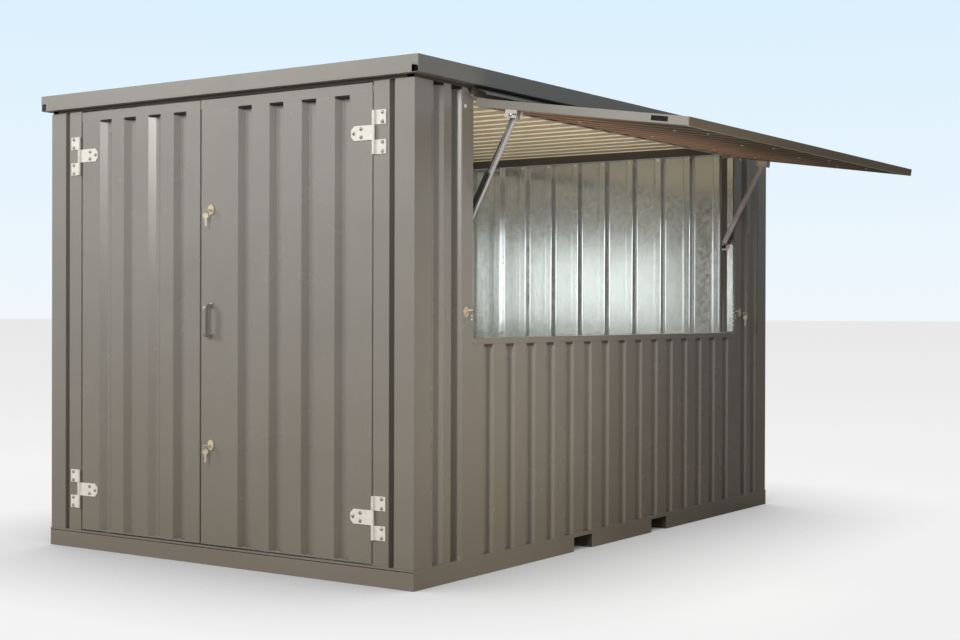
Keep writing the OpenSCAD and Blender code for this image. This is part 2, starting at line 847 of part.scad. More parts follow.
// Half of the pull handle: a foot, a leg, a bend and half the grip
module half_handle() {
    leg_z = (handle_h - foot_h) / 2;
    leg = grip_out - grip_bend;
    translate([-foot_w / 2, -foot_t, leg_z - foot_h / 2]) cube([foot_w, foot_t, foot_h]);
    translate([-grip_w / 2, -foot_t - leg, leg_z - grip_d / 2]) cube([grip_w, leg, grip_d]);
    translate([0, -foot_t - leg, leg_z - grip_bend]) rotate([90, 0, -90])
        rotate_extrude(angle = 90) translate([grip_bend, 0]) square([grip_d, grip_w], center = true);
    translate([-grip_w / 2, -foot_t - grip_out - grip_d / 2, 0])
        cube([grip_w, grip_d, leg_z - grip_bend]);
}

module door_handle() {
    color(PAINT_DARK) translate([lock_x, face_inset, handle_z])
        for (side = [0, 1]) mirror([0, 0, side]) half_handle();
}

// An oval rose, tall along Y, with the plug that takes the key
module lock() {
    rise = (rose_h - rose_w) / 2;
    for (side = [-1, 1]) translate([0, side * rise, 0]) cylinder(r = rose_w / 2, h = rose_t);
    translate([-rose_w / 2, -rise, 0]) cube([rose_w, 2 * rise, rose_t]);
    cylinder(r = plug_r, h = rose_t + plug_out);
}

module door_locks() {
    color(BRASS) for (z = [lock_low_z, lock_high_z])
        translate([lock_x, face_inset, z]) rotate([90, 0, 0]) lock();
}

module hatch_locks() {
    color(BRASS) for (y = [hatch_end - hatch_lock_edge, base_l - hatch_end + hatch_lock_edge])
        translate([wall_x, y, sill_z + hatch_lock_up]) rotate([90, 0, 90]) lock();
}

// Turns a piece drawn for a level flap into the open flap: X along the flap, Z out of its outer face
module on_flap() {
    translate([flap_hinge_x, 0, flap_hinge_z]) rotate([0, flap_slope, 0]) children();
}

// Middles of the flap's hinges
flap_hinge_ys = [for (i = [0 : flap_hinges - 1]) hatch_end + (i + 0.5) * hatch_len / flap_hinges];

module flap_hinge_plates() {
    step = flap_knuckle_l + knuckle_gap;
    color(PAINT_DARK) for (y = flap_hinge_ys) difference() {
        for (side = [-1, 1]) translate([0, y + side * step - flap_knuckle_l / 2, 0]) {
            translate([flap_hinge_x, 0, flap_hinge_z]) rotate([-90, 0, 0])
                cylinder(r = flap_barrel_r, h = flap_knuckle_l);
            translate([wall_x, 0, flap_hinge_z])
                cube([flap_plate_t, flap_knuckle_l, wall_top - flap_hinge_z]);
        }
        translate([flap_hinge_x, y - 2 * step, flap_hinge_z]) rotate([-90, 0, 0])
            cylinder(r = flap_pin_r + pin_play, h = 4 * step);
    }
}

module flap_hinge_knuckles() {
    pin_l = 3 * flap_knuckle_l + 2 * knuckle_gap;
    color(PAINT_DARK) on_flap() for (y = flap_hinge_ys) translate([0, y, 0]) {
        translate([0, -flap_knuckle_l / 2, 0]) rotate([-90, 0, 0])
            cylinder(r = flap_barrel_r, h = flap_knuckle_l);
        translate([0, -flap_knuckle_l / 2, -flap_face_drop])
            cube([flap_plate_l, flap_knuckle_l, flap_plate_t]);
        translate([0, -pin_l / 2, 0]) rotate([-90, 0, 0]) cylinder(r = flap_pin_r, h = pin_l);
    }
}

module flap_sheet() {
    color(PAINT) on_flap() translate([0, 0, -flap_face_drop - edge_t])
        along_x(flap_hinge_gap + edge_t, flap_reach - edge_t) mirror([0, 1])
            folded_sheet(sheet_line(
                flap_y0 + edge_t, flap_y1 - edge_t, hatch_starts, hatch_widths, flap_depth
            ));
}

// Channels round the flap, open towards its middle, with a slot in each side edge
module flap_edges() {
    low = -flap_face_drop - flap_t;
    slot_u = flap_reach - edge_slot_back - edge_slot_l / 2;
    slot_v = low + (flap_t - edge_slot_h) / 2;
    color(PAINT) on_flap() difference() {
        union() {
            along_x(flap_hinge_gap, flap_reach) {
                translate([flap_y0, low]) channel(edge_w, flap_t, edge_t);
                translate([flap_y1, low]) mirror([1, 0]) channel(edge_w, flap_t, edge_t);
            }
            along_y(flap_y0, flap_y1) {
                translate([flap_hinge_gap, low]) channel(edge_w, flap_t, edge_t);
                translate([flap_reach, low]) mirror([1, 0]) channel(edge_w, flap_t, edge_t);
            }
        }
        translate([slot_u, flap_y0 - EPS, slot_v])
            cube([edge_slot_l, flap_y1 - flap_y0 + 2 * EPS, edge_slot_h]);
    }
}

// Two plates under the flap with the pin of a strut's upper pivot between them
module strut_bracket() {
    low = -flap_face_drop - flap_t;
    plate_y = bar_y + bar_d + side_play;
    clip_y = strut_y - gas_r - side_play - clip_t;
    drop = strut_drop + top_eye_r + low;
    on_flap() {
        translate([strut_along - bracket_l / 2, plate_y, low - drop]) cube([bracket_l, bracket_t, drop]);
        translate([strut_along - bracket_l / 2, clip_y, low - drop]) cube([bracket_l, clip_t, drop]);
        translate([strut_along, clip_y, -strut_drop]) rotate([-90, 0, 0])
            cylinder(r = strut_pin_r, h = plate_y - clip_y);
    }
}

module flap_strut_brackets() {
    color(ZINC) strut_bracket();
    color(ZINC) far_end() strut_bracket();
}

// Turns a piece drawn along X from the upper pivot into the strut's place
module on_strut() {
    translate([strut_top_x, 0, strut_top_z]) rotate([0, strut_turn, 0]) children();
}

// Stay bar: a folded channel, the eye at its upper end and the piston rod beside it
module stay_bar() {
    on_strut() difference() {
        union() {
            along_x(0, bar_l) translate([bar_y, -bar_w / 2]) channel(bar_d, bar_w, bar_t);
            translate([0, strut_y - gas_r, 0]) rotate([-90, 0, 0])
                cylinder(r = top_eye_r, h = bar_y + bar_d - strut_y + gas_r);
            translate([0, strut_y, 0]) rotate([0, 90, 0]) cylinder(r = rod_r, h = rod_end);
        }
        translate([0, strut_y - gas_r - EPS, 0]) rotate([-90, 0, 0])
            cylinder(r = strut_pin_r + pin_play, h = bar_y + bar_d - strut_y + gas_r + 2 * EPS);
    }
}

module stay_bar_front() {
    color(GALVANISED) stay_bar();
}

module stay_bar_back() {
    color(GALVANISED) far_end() stay_bar();
}

// Gas cylinder: a tube over the piston rod and an eye at its lower end
module gas_cylinder() {
    on_strut() translate([0, strut_y, 0]) difference() {
        union() {
            translate([gas_top, 0, 0]) rotate([0, 90, 0]) cylinder(r = gas_r, h = gas_l);
            translate([strut_l - eye_gap - EPS, 0, 0]) rotate([0, 90, 0])
                cylinder(r = rod_r, h = eye_gap + EPS);
            translate([strut_l, -gas_r, 0]) rotate([-90, 0, 0]) cylinder(r = gas_r, h = 2 * gas_r);
        }
        translate([gas_top - EPS, 0, 0]) rotate([0, 90, 0])
            cylinder(r = rod_r + pin_play, h = bore_l + EPS);
        translate([strut_l, -gas_r - EPS, 0]) rotate([-90, 0, 0])
            cylinder(r = eye_hole_r, h = 2 * gas_r + 2 * EPS);
    }
}

module gas_cylinder_front() {
    color(BLACK) gas_cylinder();
}

module gas_cylinder_back() {
    color(BLACK) far_end() gas_cylinder();
}

// Plate on the jamb with the stub that the strut's lower eye hangs beside
module wall_bracket() {
    plate = 36;
    stub_l = strut_side - side_play;
    translate([strut_low_x, hatch_end, strut_low_z]) {
        translate([-plate / 2, 0, -plate / 2]) cube([plate, bracket_t, plate]);
        rotate([-90, 0, 0]) cylinder(r = eye_hole_r, h = stub_l);
    }
}

module strut_wall_brackets() {
    color(ZINC) wall_bracket();
    color(ZINC) far_end() wall_bracket();
}

base_rail_front();
base_rail_back();
base_rail_left();
base_rail_right();
fork_tunnels();
floor_bearers();
floor_boards();
door_sill();
corner_post_front_left();
corner_post_front_right();
corner_post_back_left();
corner_post_back_right();
door_stile_left();
door_stile_right();
top_ring();
back_wall();
left_wall();
hatch_wall_front_panel();
hatch_wall_lower_panel();
hatch_wall_back_panel();
hatch_jamb_front();
hatch_jamb_back();
hatch_sill();
hatch_header();
hatch_drip_strip();
roof_sheet();
roof_fascia_front();
roof_fascia_back();
roof_gutter_left();
roof_gutter_right();
hinge_plates_left();
hinge_plates_right();
flap_hinge_plates();
hatch_locks();
strut_wall_brackets();
left_leaf_sheet();
left_leaf_frame();
left_hinge_straps();
right_leaf_sheet();
right_leaf_frame();
right_hinge_straps();
door_handle();
door_locks();
flap_sheet();
flap_edges();
flap_hinge_knuckles();
flap_strut_brackets();
stay_bar_front();
stay_bar_back();
gas_cylinder_front();
gas_cylinder_back();
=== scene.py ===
# %% [markdown]
# # A flat-pack kiosk of folded sheet steel
# This lesson dresses a small sales kiosk: a frame of folded steel, walls of trapezoidal sheet, two doors and a flap
# on gas struts. The solids come from the frame file in metres. They stay where they are. Sheets with soft folds,
# bolts, keys and struts are drawn anew with numpy, because rounded folds are what the light shows first.

# %% Load the solids
import bpy
import numpy as np
from mathutils import Matrix, Vector


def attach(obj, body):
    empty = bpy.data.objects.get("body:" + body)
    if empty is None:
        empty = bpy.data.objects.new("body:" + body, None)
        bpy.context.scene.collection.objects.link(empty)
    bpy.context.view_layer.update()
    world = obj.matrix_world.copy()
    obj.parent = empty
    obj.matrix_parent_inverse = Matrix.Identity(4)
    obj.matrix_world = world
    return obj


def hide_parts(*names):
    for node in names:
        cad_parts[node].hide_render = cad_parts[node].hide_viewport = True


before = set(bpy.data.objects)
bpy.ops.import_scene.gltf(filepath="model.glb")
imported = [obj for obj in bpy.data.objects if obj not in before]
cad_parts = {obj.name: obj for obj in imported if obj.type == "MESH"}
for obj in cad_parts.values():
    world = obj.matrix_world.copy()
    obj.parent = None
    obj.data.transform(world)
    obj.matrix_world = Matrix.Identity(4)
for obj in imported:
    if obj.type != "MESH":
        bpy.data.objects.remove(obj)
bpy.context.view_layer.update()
MM = 0.001

# %% [markdown]
# ## Camera
# The kiosk is seen from its front right corner at chest height. The place and turn were fitted to the corners of
# the building, and a focal length in pixels becomes a lens length through the width of the sensor.

# %% Camera
IMAGE_W, SENSOR_W, FOCAL_PX = 960, 36.0, 1524.24
EYE_AT = 4.74687, -4.88954, 1.12246
yaw, pitch, roll = 0.5991, -0.0053, 0.0027
ahead = np.array([-np.sin(yaw) * np.cos(pitch), np.cos(yaw) * np.cos(pitch), np.sin(pitch)])
level = np.array([np.cos(yaw), np.sin(yaw), 0.0])
above = np.cross(level, ahead)
eye = np.eye(4)
eye[:3, 0] = np.cos(roll) * level + np.sin(roll) * above
eye[:3, 1] = np.cos(roll) * above - np.sin(roll) * level
eye[:3, 2] = -ahead
eye[:3, 3] = EYE_AT
lens = bpy.data.cameras.new("chest_height_camera")
lens.sensor_width = SENSOR_W
lens.lens = FOCAL_PX * SENSOR_W / IMAGE_W
camera = bpy.data.objects.new("chest_height_camera", lens)
camera.matrix_world = Matrix(eye.tolist())
bpy.context.scene.collection.objects.link(camera)
bpy.context.scene.camera = camera
bpy.context.scene.view_settings.view_transform = "Standard"
print("lens:", round(lens.lens, 2), "mm")

# %% [markdown]
# ## Colours and nodes
# Colours are written as sRGB hex, as a paint card gives them, and one function turns them into the linear values
# that Blender computes with. A second function adds one node, sets it and links it.

# %% Helpers for materials
def linear(hex_colour):
    """sRGB to linear: below 0.04045 divide by 12.92, above it ((c + 0.055) / 1.055) to the power 2.4."""
    c = np.array([int(hex_colour[i:i + 2], 16) for i in (1, 3, 5)]) / 255
    c = np.where(c <= 0.04045, c / 12.92, ((c + 0.055) / 1.055) ** 2.4)
    return (*c.tolist(), 1.0)


def add(tree, kind, sockets=None, **settings):
    """Adds one node: settings are its own values, sockets take a value or the output of another node."""
    node = tree.nodes.new("ShaderNode" + kind)
    for key, value in settings.items():
        setattr(node, key, value)
    for key, value in (sockets or {}).items():
        if isinstance(value, bpy.types.NodeSocket):
            tree.links.new(value, node.inputs[key])
        else:
            node.inputs[key].default_value = value
    return node


def start_finish(name, **sockets):
    """An empty material with one Principled shader, its plain values set, and the place on the piece in metres."""
    material = bpy.data.materials.new(name)
    material.use_nodes = True
    tree = material.node_tree
    tree.nodes.clear()
    plain = {key.replace("_", " "): value for key, value in sockets.items()}
    shader = add(tree, "BsdfPrincipled", plain)
    add(tree, "OutputMaterial", {"Surface": shader.outputs["BSDF"]})
    return material, tree, shader, add(tree, "TexCoord").outputs["Object"]


MIX_A, MIX_B, MIX_OUT = 6, 7, 2


def mixed(tree, share, a, b, blend_type="MIX"):
    """Colour a where share is 0 and colour b where it is 1."""
    sockets = {0: share, MIX_A: a, MIX_B: b}
    return add(tree, "Mix", sockets, data_type="RGBA", blend_type=blend_type).outputs[MIX_OUT]


def spread(tree, value, low, high, to_low, to_high):
    """Carries the range low to high of a value over to to_low to to_high, and holds it there."""
    sockets = {"Value": value, "From Min": low, "From Max": high, "To Min": to_low, "To Max": to_high}
    return add(tree, "MapRange", sockets).outputs["Result"]


def cloud(tree, place, size_mm, detail=3.0, stretch=(1.0, 1.0, 1.0)):
    """Soft noise whose blots are about size_mm across; stretch below 1 draws them out along an axis."""
    mapped = add(tree, "Mapping", {"Vector": place, "Scale": stretch}).outputs["Vector"]
    sockets = {"Vector": mapped, "Scale": 1 / (size_mm * MM), "Detail": detail}
    return add(tree, "TexNoise", sockets).outputs["Fac"]


def dent(tree, shader, height, depth_mm, before=None):
    """Lets a height map of depth_mm tilt the shading normal, on top of an earlier one."""
    sockets = {"Height": height, "Distance": depth_mm * MM, "Strength": 1.0}
    if before:
        sockets["Normal"] = before
    bump = add(tree, "Bump", sockets).outputs["Normal"]
    tree.links.new(bump, shader.inputs["Normal"])
    return bump


# %% [markdown]
# ## Painted steel
# The visible sheet is coil-coated: a roller lays polyester paint on the flat strip before it is folded. That gives
# the eye an even warm grey with a satin gloss, a trace of orange peel and wide shallow waves in the flats. Towards the
# ground the colour turns darker and browner: a painted shade for the light that falls off low on the walls. The
# orange peel is drawn at 24 mm, coarser than the real 2 mm, because the real one is finer than a pixel. The lip at
# the flap's free edge is darker and browner.

# %% Painted steel
SHADE_TOP, SHADE_UNEVEN = 1.5, 0.7
SHADE_MM, BLOT_MM, RUB_MM, WAVE_MM, PEEL_MM = 420, 320, 240, 620, 24
WAVE_DEPTH, PEEL_DEPTH = 1.6, 0.02


def painted(name, top, foot, gloss, lip=None, lip_x=0.0):
    """Grey polyester paint: colour from foot near the ground to top at SHADE_TOP metres, a painted shade, with blots,
    peel and waves. Beyond lip_x metres along X it turns to the lip colour."""
    material, tree, shader, place = start_finish(name, Roughness=gloss, Coat_Weight=0.12, Coat_Roughness=0.28)
    split = add(tree, "SeparateXYZ", {0: place}).outputs
    film = cloud(tree, place, SHADE_MM, 4.0, (1.0, 1.0, 0.45))
    uneven = add(tree, "Math", {0: film, 1: SHADE_UNEVEN, 2: split["Z"]}, operation="MULTIPLY_ADD").outputs[0]
    # Painted shade: below SHADE_TOP the paint turns towards the darker foot colour.
    unshaded = spread(tree, uneven, SHADE_UNEVEN / 2, SHADE_TOP + SHADE_UNEVEN / 2, 0.0, 1.0)
    tone = mixed(tree, unshaded, linear(foot), linear(top))
    if lip:
        tone = mixed(tree, spread(tree, split["X"], lip_x, lip_x + MM, 0.0, 1.0), tone, linear(lip))
    blots = spread(tree, cloud(tree, place, BLOT_MM, 2.0), 0.1, 0.9, 0.94, 1.06)
    shade = add(tree, "CombineColor", {0: blots, 1: blots, 2: blots}).outputs[0]
    tree.links.new(mixed(tree, 1.0, tone, shade, "MULTIPLY"), shader.inputs["Base Color"])
    rub = spread(tree, cloud(tree, place, RUB_MM, 2.0), 0.1, 0.9, gloss - 0.05, gloss + 0.05)
    tree.links.new(rub, shader.inputs["Roughness"])
    waves = dent(tree, shader, cloud(tree, place, WAVE_MM, 0.0), WAVE_DEPTH)
    dent(tree, shader, cloud(tree, place, PEEL_MM, 1.0), PEEL_DEPTH, waves)
    return material


wall_paint = painted("coil_coated_steel_grey", "#979490", "#7f7970", 0.26)
frame_paint = painted("coated_folded_steel_grey", "#94918c", "#7d766d", 0.39)
gutter_paint = painted("coated_gutter_steel_grey", "#85827d", "#85827d", 0.36)
flap_paint = painted("coil_coated_steel_flap", "#93908b", "#8d877f", 0.36)
edge_paint = painted("coated_edge_channel_grey", "#a3a09b", "#9d978f", 0.36, lip="#857969", lip_x=2.088)
dark_paint = painted("stove_enamelled_steel_dark", "#5f5b56", "#57524c", 0.42)
# Dark steel for the fork tunnels and floor bearers; on the top ring and the plates under the sill this dark is a
# painted shade.
shaded_paint = painted("dark_steel_and_painted_shade", "#4b4540", "#45403b", 0.45)
print("paints:", wall_paint.name, frame_paint.name, flap_paint.name, dark_paint.name)

# %% [markdown]
# ## Galvanised steel and backing coats
# The inner side of the sheets is bare hot-dip zinc. It cools into crystals, the spangle, that shade a little apart
# from each other, so a cell pattern of about 16 mm changes the tone and the gloss. Beside the hatch the zinc is
# painted dark grey: a painted shade for the inner corner that faces away from the light. The roof sheet and the
# flap have a thin backing coat instead: cream under the roof, with its pans painted brown as a painted shade, and
# brown under the flap as a painted reflection of warm ground, painted darker towards its free edge as a painted shade.

# %% Galvanised steel and backing coats
SPANGLE_MM, MARK_MM, BUCKLE_MM, BUCKLE_DEPTH = 16, 300, 640, 1.2
STREAK_MM, SMUDGE_MM, SAG_MM, SAG_DEPTH = 90, 70, 520, 2.5
SHADE_Z_FADE, SHADE_X_FADE = 0.003, 0.4


def galvanised(name, pale, dull, metallic, gloss):
    """Hot-dip zinc: each spangle cell has its own tone and gloss, under long soft rub marks."""
    material, tree, shader, place = start_finish(name, Metallic=metallic)
    cells = add(tree, "TexVoronoi", {"Vector": place, "Scale": 1 / (SPANGLE_MM * MM)}).outputs["Color"]
    cell = add(tree, "SeparateColor", {0: cells}).outputs[0]
    rubs = cloud(tree, place, MARK_MM, 4.0, (1.0, 1.0, 0.2))
    share = add(tree, "Math", {0: cell, 1: 0.45, 2: rubs}, operation="MULTIPLY_ADD").outputs[0]
    tree.links.new(mixed(tree, spread(tree, share, 0.4, 1.1, 0.0, 1.0), linear(dull), linear(pale)),
                   shader.inputs["Base Color"])
    tree.links.new(spread(tree, cell, 0.0, 1.0, gloss - 0.04, gloss + 0.04), shader.inputs["Roughness"])
    dent(tree, shader, cloud(tree, place, BUCKLE_MM, 0.0), BUCKLE_DEPTH)
    return material


def backing(name, colour, streak, gloss, shaded_colour, shade_z=0.0, shade_x=0.0):
    """Thin backing coat: one colour with long faint streaks along the roller's path and small clouds. Below the
    height shade_z, on the pans, or beyond shade_x along X, it turns to the shaded colour: a painted shade."""
    material, tree, shader, place = start_finish(name)
    streaks = cloud(tree, place, STREAK_MM, 4.0, (0.06, 1.0, 1.0))
    tone = mixed(tree, spread(tree, streaks, 0.3, 0.75, 0.0, 1.0), linear(colour), linear(streak))
    if shade_z:
        height = add(tree, "SeparateXYZ", {0: place}).outputs["Z"]
        # Painted shade: the pans below shade_z turn to the shaded colour.
        tone = mixed(tree, spread(tree, height, shade_z, shade_z + SHADE_Z_FADE, 1.0, 0.0), tone, linear(shaded_colour))
    if shade_x:
        out = add(tree, "SeparateXYZ", {0: place}).outputs["X"]
        # Painted shade: beyond shade_x the coat darkens to the shaded colour.
        tone = mixed(tree, spread(tree, out, shade_x, shade_x + SHADE_X_FADE, 0.0, 1.0), tone, linear(shaded_colour))
    tree.links.new(tone, shader.inputs["Base Color"])
    tree.links.new(spread(tree, cloud(tree, place, SMUDGE_MM), 0.3, 0.7, gloss - 0.05, gloss + 0.05),
                   shader.inputs["Roughness"])
    dent(tree, shader, cloud(tree, place, SAG_MM, 1.0), SAG_DEPTH)
    return material


bare_zinc = galvanised("hot_dip_galvanised_steel", "#eef0ee", "#e2e5e3", 0.82, 0.14)
# Painted shade: dark grey zinc for the inside of the end panels beside the hatch.
shaded_zinc = galvanised("hot_dip_galvanised_painted_shade", "#6c6e6a", "#585a57", 0.8, 0.34)
roof_zinc = galvanised("hot_dip_galvanised_roof", "#bcc0bd", "#9fa5a2", 0.55, 0.45)
# Cream coat under the roof; its pans are painted brown, a painted shade between the ribs.
cream_and_shade_coat = backing("cream_backing_coat_painted_shade", "#f8ecd2", "#eadcbc", 0.42, "#9c8e72", shade_z=2.1105)
# Brown under the flap is a painted reflection of warm ground; beyond shade_x it is painted darker as a painted shade.
ground_reflection_coat = backing("brown_painted_ground_reflection", "#ae8b71", "#9c7960", 0.38, "#685b4d", shade_x=1.4)
print("zinc and coats:", bare_zinc.name, shaded_zinc.name, roof_zinc.name, cream_and_shade_coat.name, ground_reflection_coat.name)

# %% [markdown]
# ## Small metals and wood
# Hinges, screws and brackets are zinc-plated in a bath: pale, slightly warm, half matt. The bolts of the hinges have
# weathered to grey. Locks are nickel-plated brass with a turned face, keys are nickel-plated too, the gas cylinders
# have black lacquer, the piston rods are nitrided dark and the pivot bolts chromed. A black, dull finish is the
# painted shadow in the groove tops and the flap slots. The floor is plywood with a film.

# %% Small metals and wood
def metal(name, bright, worn, metallic, gloss, blot_mm, depth_mm=0.08):
    """Plated or cast metal: two tones in blots of blot_mm, with the gloss and a fine relief following them."""
    material, tree, shader, place = start_finish(name, Metallic=metallic)
    blots = cloud(tree, place, blot_mm, 4.0)
    tree.links.new(mixed(tree, spread(tree, blots, 0.32, 0.68, 0.0, 1.0), linear(worn), linear(bright)),
                   shader.inputs["Base Color"])
    tree.links.new(spread(tree, blots, 0.3, 0.7, gloss + 0.08, gloss - 0.06), shader.inputs["Roughness"])
    dent(tree, shader, cloud(tree, place, blot_mm / 4), depth_mm)
    return material


plated_zinc = metal("zinc_plated_steel", "#f3f1ec", "#e9e6df", 0.1, 0.42, 24)
bolt_zinc = metal("zinc_plated_bolt", "#b3afa7", "#8d8982", 0.4, 0.34, 9, 0.05)
cast_brass = metal("nickel_plated_brass", "#dfd2bf", "#cdbd9f", 0.25, 0.36, 12)
key_nickel = metal("nickel_plated_key", "#e8dfcc", "#d3c7a9", 0.35, 0.30, 10)
hard_chrome = metal("hard_chrome_rod", "#dcdedf", "#c3c6c8", 1.0, 0.16, 30, 0.02)
dark_rod = metal("nitrided_piston_rod", "#6b696c", "#545255", 0.8, 0.24, 30, 0.02)
stay_zinc = metal("rolled_zinc_coated_bar", "#dfdde4", "#cfcdd4", 0.1, 0.38, 60, 0.05)
black_lacquer = metal("black_lacquered_tube", "#26272a", "#1b1c1e", 0.0, 0.30, 40, 0.03)
# Black and dull: the painted shadow in the tops of the grooves and behind the flap slots.
painted_shadow = metal("black_painted_shadow", "#1d1a17", "#131110", 0.0, 0.85, 12, 0.4)


GRAIN_MM, TONE_MM = 12, 350


def film_plywood(name, pale, brown):
    """Plywood: grain in blots of GRAIN_MM drawn out along X, over slow clouds of tone."""
    material, tree, shader, place = start_finish(name, Roughness=0.55)
    grain = cloud(tree, place, GRAIN_MM, 5.0, (0.05, 1.0, 1.0))
    clouds = cloud(tree, place, TONE_MM)
    share = add(tree, "Math", {0: grain, 1: 0.6, 2: clouds}, operation="MULTIPLY_ADD").outputs[0]
    tree.links.new(mixed(tree, spread(tree, share, 0.5, 1.1, 0.0, 1.0), linear(brown), linear(pale)),
                   shader.inputs["Base Color"])
    dent(tree, shader, grain, 0.25)
    return material


floor_wood = film_plywood("plywood_with_film", "#a98c62", "#84683f")
print("metals and wood:", plated_zinc.name, cast_brass.name, key_nickel.name, hard_chrome.name,
      black_lacquer.name, floor_wood.name)

# %% [markdown]
# ## Finishes on the solids
# Posts, rails, frames and plates keep the shape of their solids. Their meshes are loose triangles, so a Weld joins
# them, a planar Decimate brings back the flat faces, and a narrow Bevel gives each edge the small radius that
# catches the light. Weighted normals keep the flats flat.

# %% Finishes on the solids
WELD_MM, FLAT_DEG, EDGE_DEG = 0.02, 0.5, 35.0


def dress(finish, edge_mm, *nodes):
    """Puts one finish on solids and rounds their edges by edge_mm with modifiers alone."""
    for name in nodes:
        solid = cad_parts[name]
        solid.material_slots[0].material = finish
        solid.modifiers.new("join", "WELD").merge_threshold = WELD_MM * MM
        flat = solid.modifiers.new("flats", "DECIMATE")
        flat.decimate_type, flat.angle_limit = "DISSOLVE", np.radians(FLAT_DEG)
        edge = solid.modifiers.new("edges", "BEVEL")
        edge.width, edge.segments = edge_mm * MM, 2
        edge.limit_method, edge.angle_limit = "ANGLE", np.radians(EDGE_DEG)
        solid.modifiers.new("shading", "WEIGHTED_NORMAL").weight = 100


dress(frame_paint, 0.9, "base_rail_front", "base_rail_back", "base_rail_left", "base_rail_right", "door_sill",
      "corner_post_front_left", "corner_post_front_right", "corner_post_back_left", "corner_post_back_right",
      "door_stile_left", "door_stile_right", "hatch_jamb_front", "hatch_jamb_back", "hatch_sill",
      "hatch_header", "left_leaf_frame", "right_leaf_frame")
dress(frame_paint, 0.7, "roof_fascia_front", "roof_fascia_back")
dress(gutter_paint, 0.7, "roof_gutter_left", "roof_gutter_right")
dress(edge_paint, 0.8, "flap_edges")
dress(wall_paint, 3.0, "door_handle")
# The top ring is painted dark as a painted shade under the roof; the fork tunnels and floor bearers are plain dark
# steel.
dress(shaded_paint, 1.2, "top_ring", "fork_tunnels", "floor_bearers")
dress(black_lacquer, 0.8, "gas_cylinder_front", "gas_cylinder_back")
dress(plated_zinc, 0.8, "hinge_plates_left", "hinge_plates_right", "left_hinge_straps", "right_hinge_straps",
      "flap_strut_brackets", "strut_wall_brackets")
dress(dark_paint, 0.8, "flap_hinge_plates", "flap_hinge_knuckles")
dress(cast_brass, 1.4, "door_locks", "hatch_locks")
dress(floor_wood, 1.0, "floor_boards")
print("solids dressed:", sum(1 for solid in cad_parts.values() if solid.modifiers))

# %% [markdown]
# ## Folded sheets
# A wall sheet is a flat strip that rollers fold into grooves. Its section is a line of straight runs with a small
# arc at each fold, and the sheet is that line carried straight along the wall. A Solidify gives it the real
# 0.8 mm, with the paint outside and the zinc inside, which a plain block with a bump map could not show at its
# edges.

# %% Helpers for folded sheets
FOLD_R, FOLD_STEPS, FLANK, THIN = 5.0, 4, 16.0, 0.8


def rounded_line(corners, radius=FOLD_R, steps=FOLD_STEPS):
    """Line with an arc at each inner corner. With the inner angle g, an arc touches both runs at
    radius / tan(g / 2) from the corner, its middle lies on the bisector at radius / sin(g / 2), and its spokes
    are blended by sines: (sin((1 - t) turn) first + sin(t turn) last) / sin(turn)."""
    corners = np.asarray(corners, float)
    at, back, on = corners[1:-1], corners[:-2] - corners[1:-1], corners[2:] - corners[1:-1]
    back /= np.linalg.norm(back, axis=1, keepdims=True)
    on /= np.linalg.norm(on, axis=1, keepdims=True)
    inner = np.arccos(np.clip((back * on).sum(1), -1, 1))
    reach = (radius / np.tan(inner / 2))[:, None]
    ray = (back + on) / np.linalg.norm(back + on, axis=1, keepdims=True)
    middle = at + ray * (radius / np.sin(inner / 2))[:, None]
    first, last = at + back * reach - middle, at + on * reach - middle
    turn = (np.pi - inner)[:, None, None]
    t = np.linspace(0, 1, steps + 1)[None, :, None]
    spokes = np.sin((1 - t) * turn) * first[:, None] + np.sin(t * turn) * last[:, None]
    arcs = middle[:, None] + spokes / np.sin(turn)
    return np.concatenate([corners[:1], arcs.reshape(-1, 2), corners[-1:]])


def grooved(start, end, starts, widths, depth, flank=FLANK):
    """Corners of a sheet's section: level runs at 0 and grooves that fall to depth over each flank. Widths, depth
    and flank are one value for all grooves or one for each."""
    starts = np.asarray(starts, float)
    widths, depth, flank = (np.broadcast_to(value, starts.shape) for value in (widths, depth, flank))
    steps = np.stack([0 * starts, flank, widths - flank, widths], 1)
    falls = np.stack([0 * depth, depth, depth, 0 * depth], 1)
    folds = np.stack([starts[:, None] + steps, falls], -1).reshape(-1, 2)
    return np.concatenate([[[start, 0.0]], folds, [[end, 0.0]]])


def carried(line, origin, across, deep, along, stations):
    """Grid of points: origin + u across + v deep + s along for each point (u, v) of the line and each station s.
    Stations may differ from point to point. Returns points and the quads between them, facing away from deep."""
    line, (across, deep, along) = np.asarray(line), np.array([across, deep, along], float)
    stations = np.broadcast_to(np.asarray(stations, float), (len(line), np.shape(stations)[-1]))
    grid = (np.asarray(origin, float) + line[:, None, :1] * across + line[:, None, 1:] * deep
            + stations[..., None] * along)
    n, m = stations.shape
    i = (np.arange(n - 1)[:, None] * m + np.arange(m - 1)).ravel()
    quads = np.stack([i, i + m, i + m + 1, i + 1], 1)
    if np.dot(np.cross(across, along), deep) > 0:
        quads = quads[:, ::-1]
    return grid.reshape(-1, 3), quads


def piece(name, points_mm, faces, finishes, body, slot, stands_for=(), smooth=True):
    """Puts points and faces into a mesh, gives it its finishes, and lets it move with a body of the frame."""
    mesh = bpy.data.meshes.new(name)
    mesh.from_pydata((np.asarray(points_mm) * MM).tolist(), [], [list(map(int, face)) for face in faces])
    mesh.polygons.foreach_set("use_smooth", np.full(len(mesh.polygons), smooth))
    for finish in finishes:
        mesh.materials.append(finish)
    thing = bpy.data.objects.new(name, mesh)
    bpy.context.scene.collection.objects.link(thing)
    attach(thing, body)
    if stands_for:
        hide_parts(*stands_for)
    return thing


